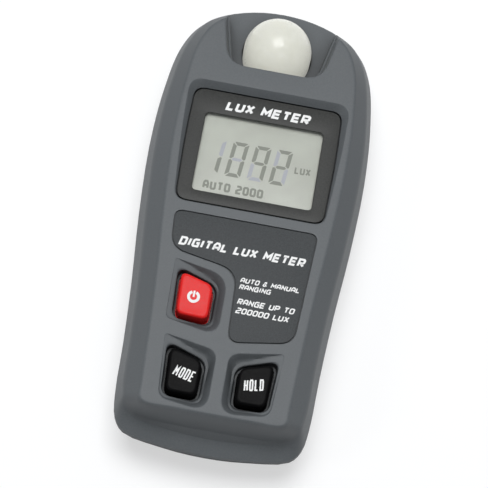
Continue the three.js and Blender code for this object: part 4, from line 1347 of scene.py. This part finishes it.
KEY_DOME_BASE, KEY_DOME_TOP = 3.4, 1.7  # radii
KEY_DOME_WALL, KEY_DOME_FOOT, KEY_DOME_EDGE = 0.5, 0.4, 0.08


def key_dome(name):
    """The rubber dome under a button, in its resting shape; the real one flattens as the button is
    pressed.
    """
    low, high = (np.array(corner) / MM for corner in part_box(f"{name}_dome"))
    x, y = (low[:2] + high[:2]) / 2
    bottom, top = low[2], high[2]
    foot, foot_top = (high[0] - low[0]) / 2, bottom + KEY_DOME_FOOT
    outer = [(foot, bottom), (foot, foot_top - KEY_DOME_EDGE), (foot - KEY_DOME_EDGE, foot_top)]
    inner = [outer[0], (KEY_DOME_BASE - KEY_DOME_WALL, bottom)]
    for share in np.linspace(0, 1, 9):
        radius = KEY_DOME_BASE + (KEY_DOME_TOP - KEY_DOME_BASE) * smoothstep(share)
        height = foot_top + (top - foot_top) * share
        outer.append((radius, height))
        if share > 0:
            inner.append((radius - KEY_DOME_WALL, height - KEY_DOME_WALL * share))
    outer += [(KEY_DOME_TOP - 0.2, top), (0, top)]
    inner.append((0, inner[-1][1]))
    solid = Solid()
    for profile in (outer, inner):
        solid.revolve(profile, x, y, 48)
    piece = solid.make(
        f"{name}_rubber_dome", "case", "silicone", SILICONE, sharp=40,
        replaces=(f"{name}_dome",))
    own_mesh(piece)


# ---- CAD nodes that stay

CELLS, SCREWS = (1, 2, 3), (1, 2, 3, 4)
NODE_FINISHES = [
    (CASE, ["rear_shell", "battery_door"]),
    (FILTER, ["photopic_filter"]),
    (BOARD, ["sensor_board", "main_board"]),
    (WHITE, ["lcd_reflector", "lcd_holder"]),
    (RUBBER, ["contact_strip"]),
    (CHIP, ["meter_chip"]),
    (RED_WIRE, ["sensor_lead_1", "battery_lead_1"]),
    (BLACK_WIRE, ["sensor_lead_2", "battery_lead_2"]),
    (JACKET, [f"battery_{n}" for n in CELLS]),
    (BRASS, [f"contact_plate_{n}" for n in CELLS]),
    (STEEL, ["photodiode", "clock_crystal", *(f"contact_spring_{n}" for n in CELLS)]),
    (STEEL, [f"{place}_screw_{n}" for place in ("case", "board") for n in SCREWS]),
]
CREASE = math.radians(28)  # edges bent more than this stay sharp


def dress_node(node, finish):
    """A node material and smooth shading for a CAD node that stays in view."""
    mesh = node.data
    mesh.materials.clear()
    mesh.materials.append(finish)
    custom = mesh.attributes.get("custom_normal")
    if custom is not None:
        mesh.attributes.remove(custom)
    mesh.polygons.foreach_set("use_smooth", [True] * len(mesh.polygons))
    node.modifiers.new("weld", "WELD").merge_threshold = 1e-6
    node.modifiers.new("split", "EDGE_SPLIT").split_angle = CREASE


# ---- floor and light


FLOOR_HALF, FLOOR_Z = 3.0, -0.0001  # metres


def add_floor():
    """The pale floor, lit a little from within so that it stays white without a deep shadow."""
    mesh = bpy.data.meshes.new("floor")
    bm = bmesh.new()
    bmesh.ops.create_grid(bm, x_segments=8, y_segments=8, size=FLOOR_HALF)
    bm.to_mesh(mesh)
    bm.free()
    finish = Finish(
        "floor", 0.65, Specular_IOR_Level=0.1, Emission_Strength=0.54,
        Emission_Color=(1, 1, 1, 1),
    )
    cloud = finish.noise(400, detail=2)
    finish.colour(finish.mottled(cloud, (176, 177, 178), (172, 173, 174)))
    mesh.materials.append(finish.material)
    floor = add_object("floor", mesh)
    floor.location.z = FLOOR_Z


def area_light(name, place, aim, size, power):
    """A soft box at a place, turned to what it aims at. Lengths are in metres."""
    data = bpy.data.lights.new(name, "AREA")
    data.shape = "RECTANGLE"
    data.size, data.size_y = size
    data.energy = power
    light = add_object(name, data)
    light.location = place
    light.rotation_euler = (Vector(aim) - Vector(place)).to_track_quat("-Z", "Y").to_euler()
    light.visible_camera = False


DIM, BRIGHT = 0.06, 0.36  # the surroundings behind the lower end, and behind the sensor end


def add_surroundings():
    """Dim surroundings that grow brighter towards the sensor end."""
    world = bpy.data.worlds.new("world")
    world.use_nodes = True
    nodes, links = world.node_tree.nodes, world.node_tree.links
    direction = nodes.new("ShaderNodeTexCoord")
    parts = nodes.new("ShaderNodeSeparateXYZ")
    level = nodes.new("ShaderNodeMapRange")
    set_range(level, -1, 1, DIM, BRIGHT)
    links.new(direction.outputs["Generated"], parts.inputs["Vector"])
    links.new(parts.outputs["Y"], level.inputs["Value"])
    ground = nodes["Background"]
    ground.inputs["Color"].default_value = (0.97, 0.985, 1.0, 1)
    links.new(level.outputs["Result"], ground.inputs["Strength"])
    bpy.context.scene.world = world


# ---- the scene

add_camera()
add_floor()
add_surroundings()
area_light("overhead", (-0.06, 0.18, 1.0), (0, 0, 0.02), (0.62, 0.54), 9.4)
area_light("left_box", (-0.62, -0.35, 0.62), (0, 0.03, 0.02), (0.2, 0.2), 0.6)
area_light("right_box", (0.30, -0.45, 0.8), (0, 0.03, 0.02), (0.2, 0.2), 0.6)
bpy.context.scene.view_settings.view_transform = "Standard"

front_shell()
display_panel()
lcd()
label()
button("power", POWER_CAP, RED, "red_plastic")
button("mode", MODE_CAP, BLACK, "black_plastic")
button("hold", HOLD_CAP, BLACK, "black_plastic")
power_sign()
legend("mode", "MODE", (-11.1, -45.55), 5.3, 2.7, -12.3, MODE_CAP)
legend("hold", "HOLD", (6.3, -46.45), 5.0, 2.8, 11.8, HOLD_CAP)
sensor_dome()
for key in ("power", "mode", "hold"):
    key_dome(key)
for finish, names in NODE_FINISHES:
    for name in names:
        dress_node(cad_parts[name], finish)
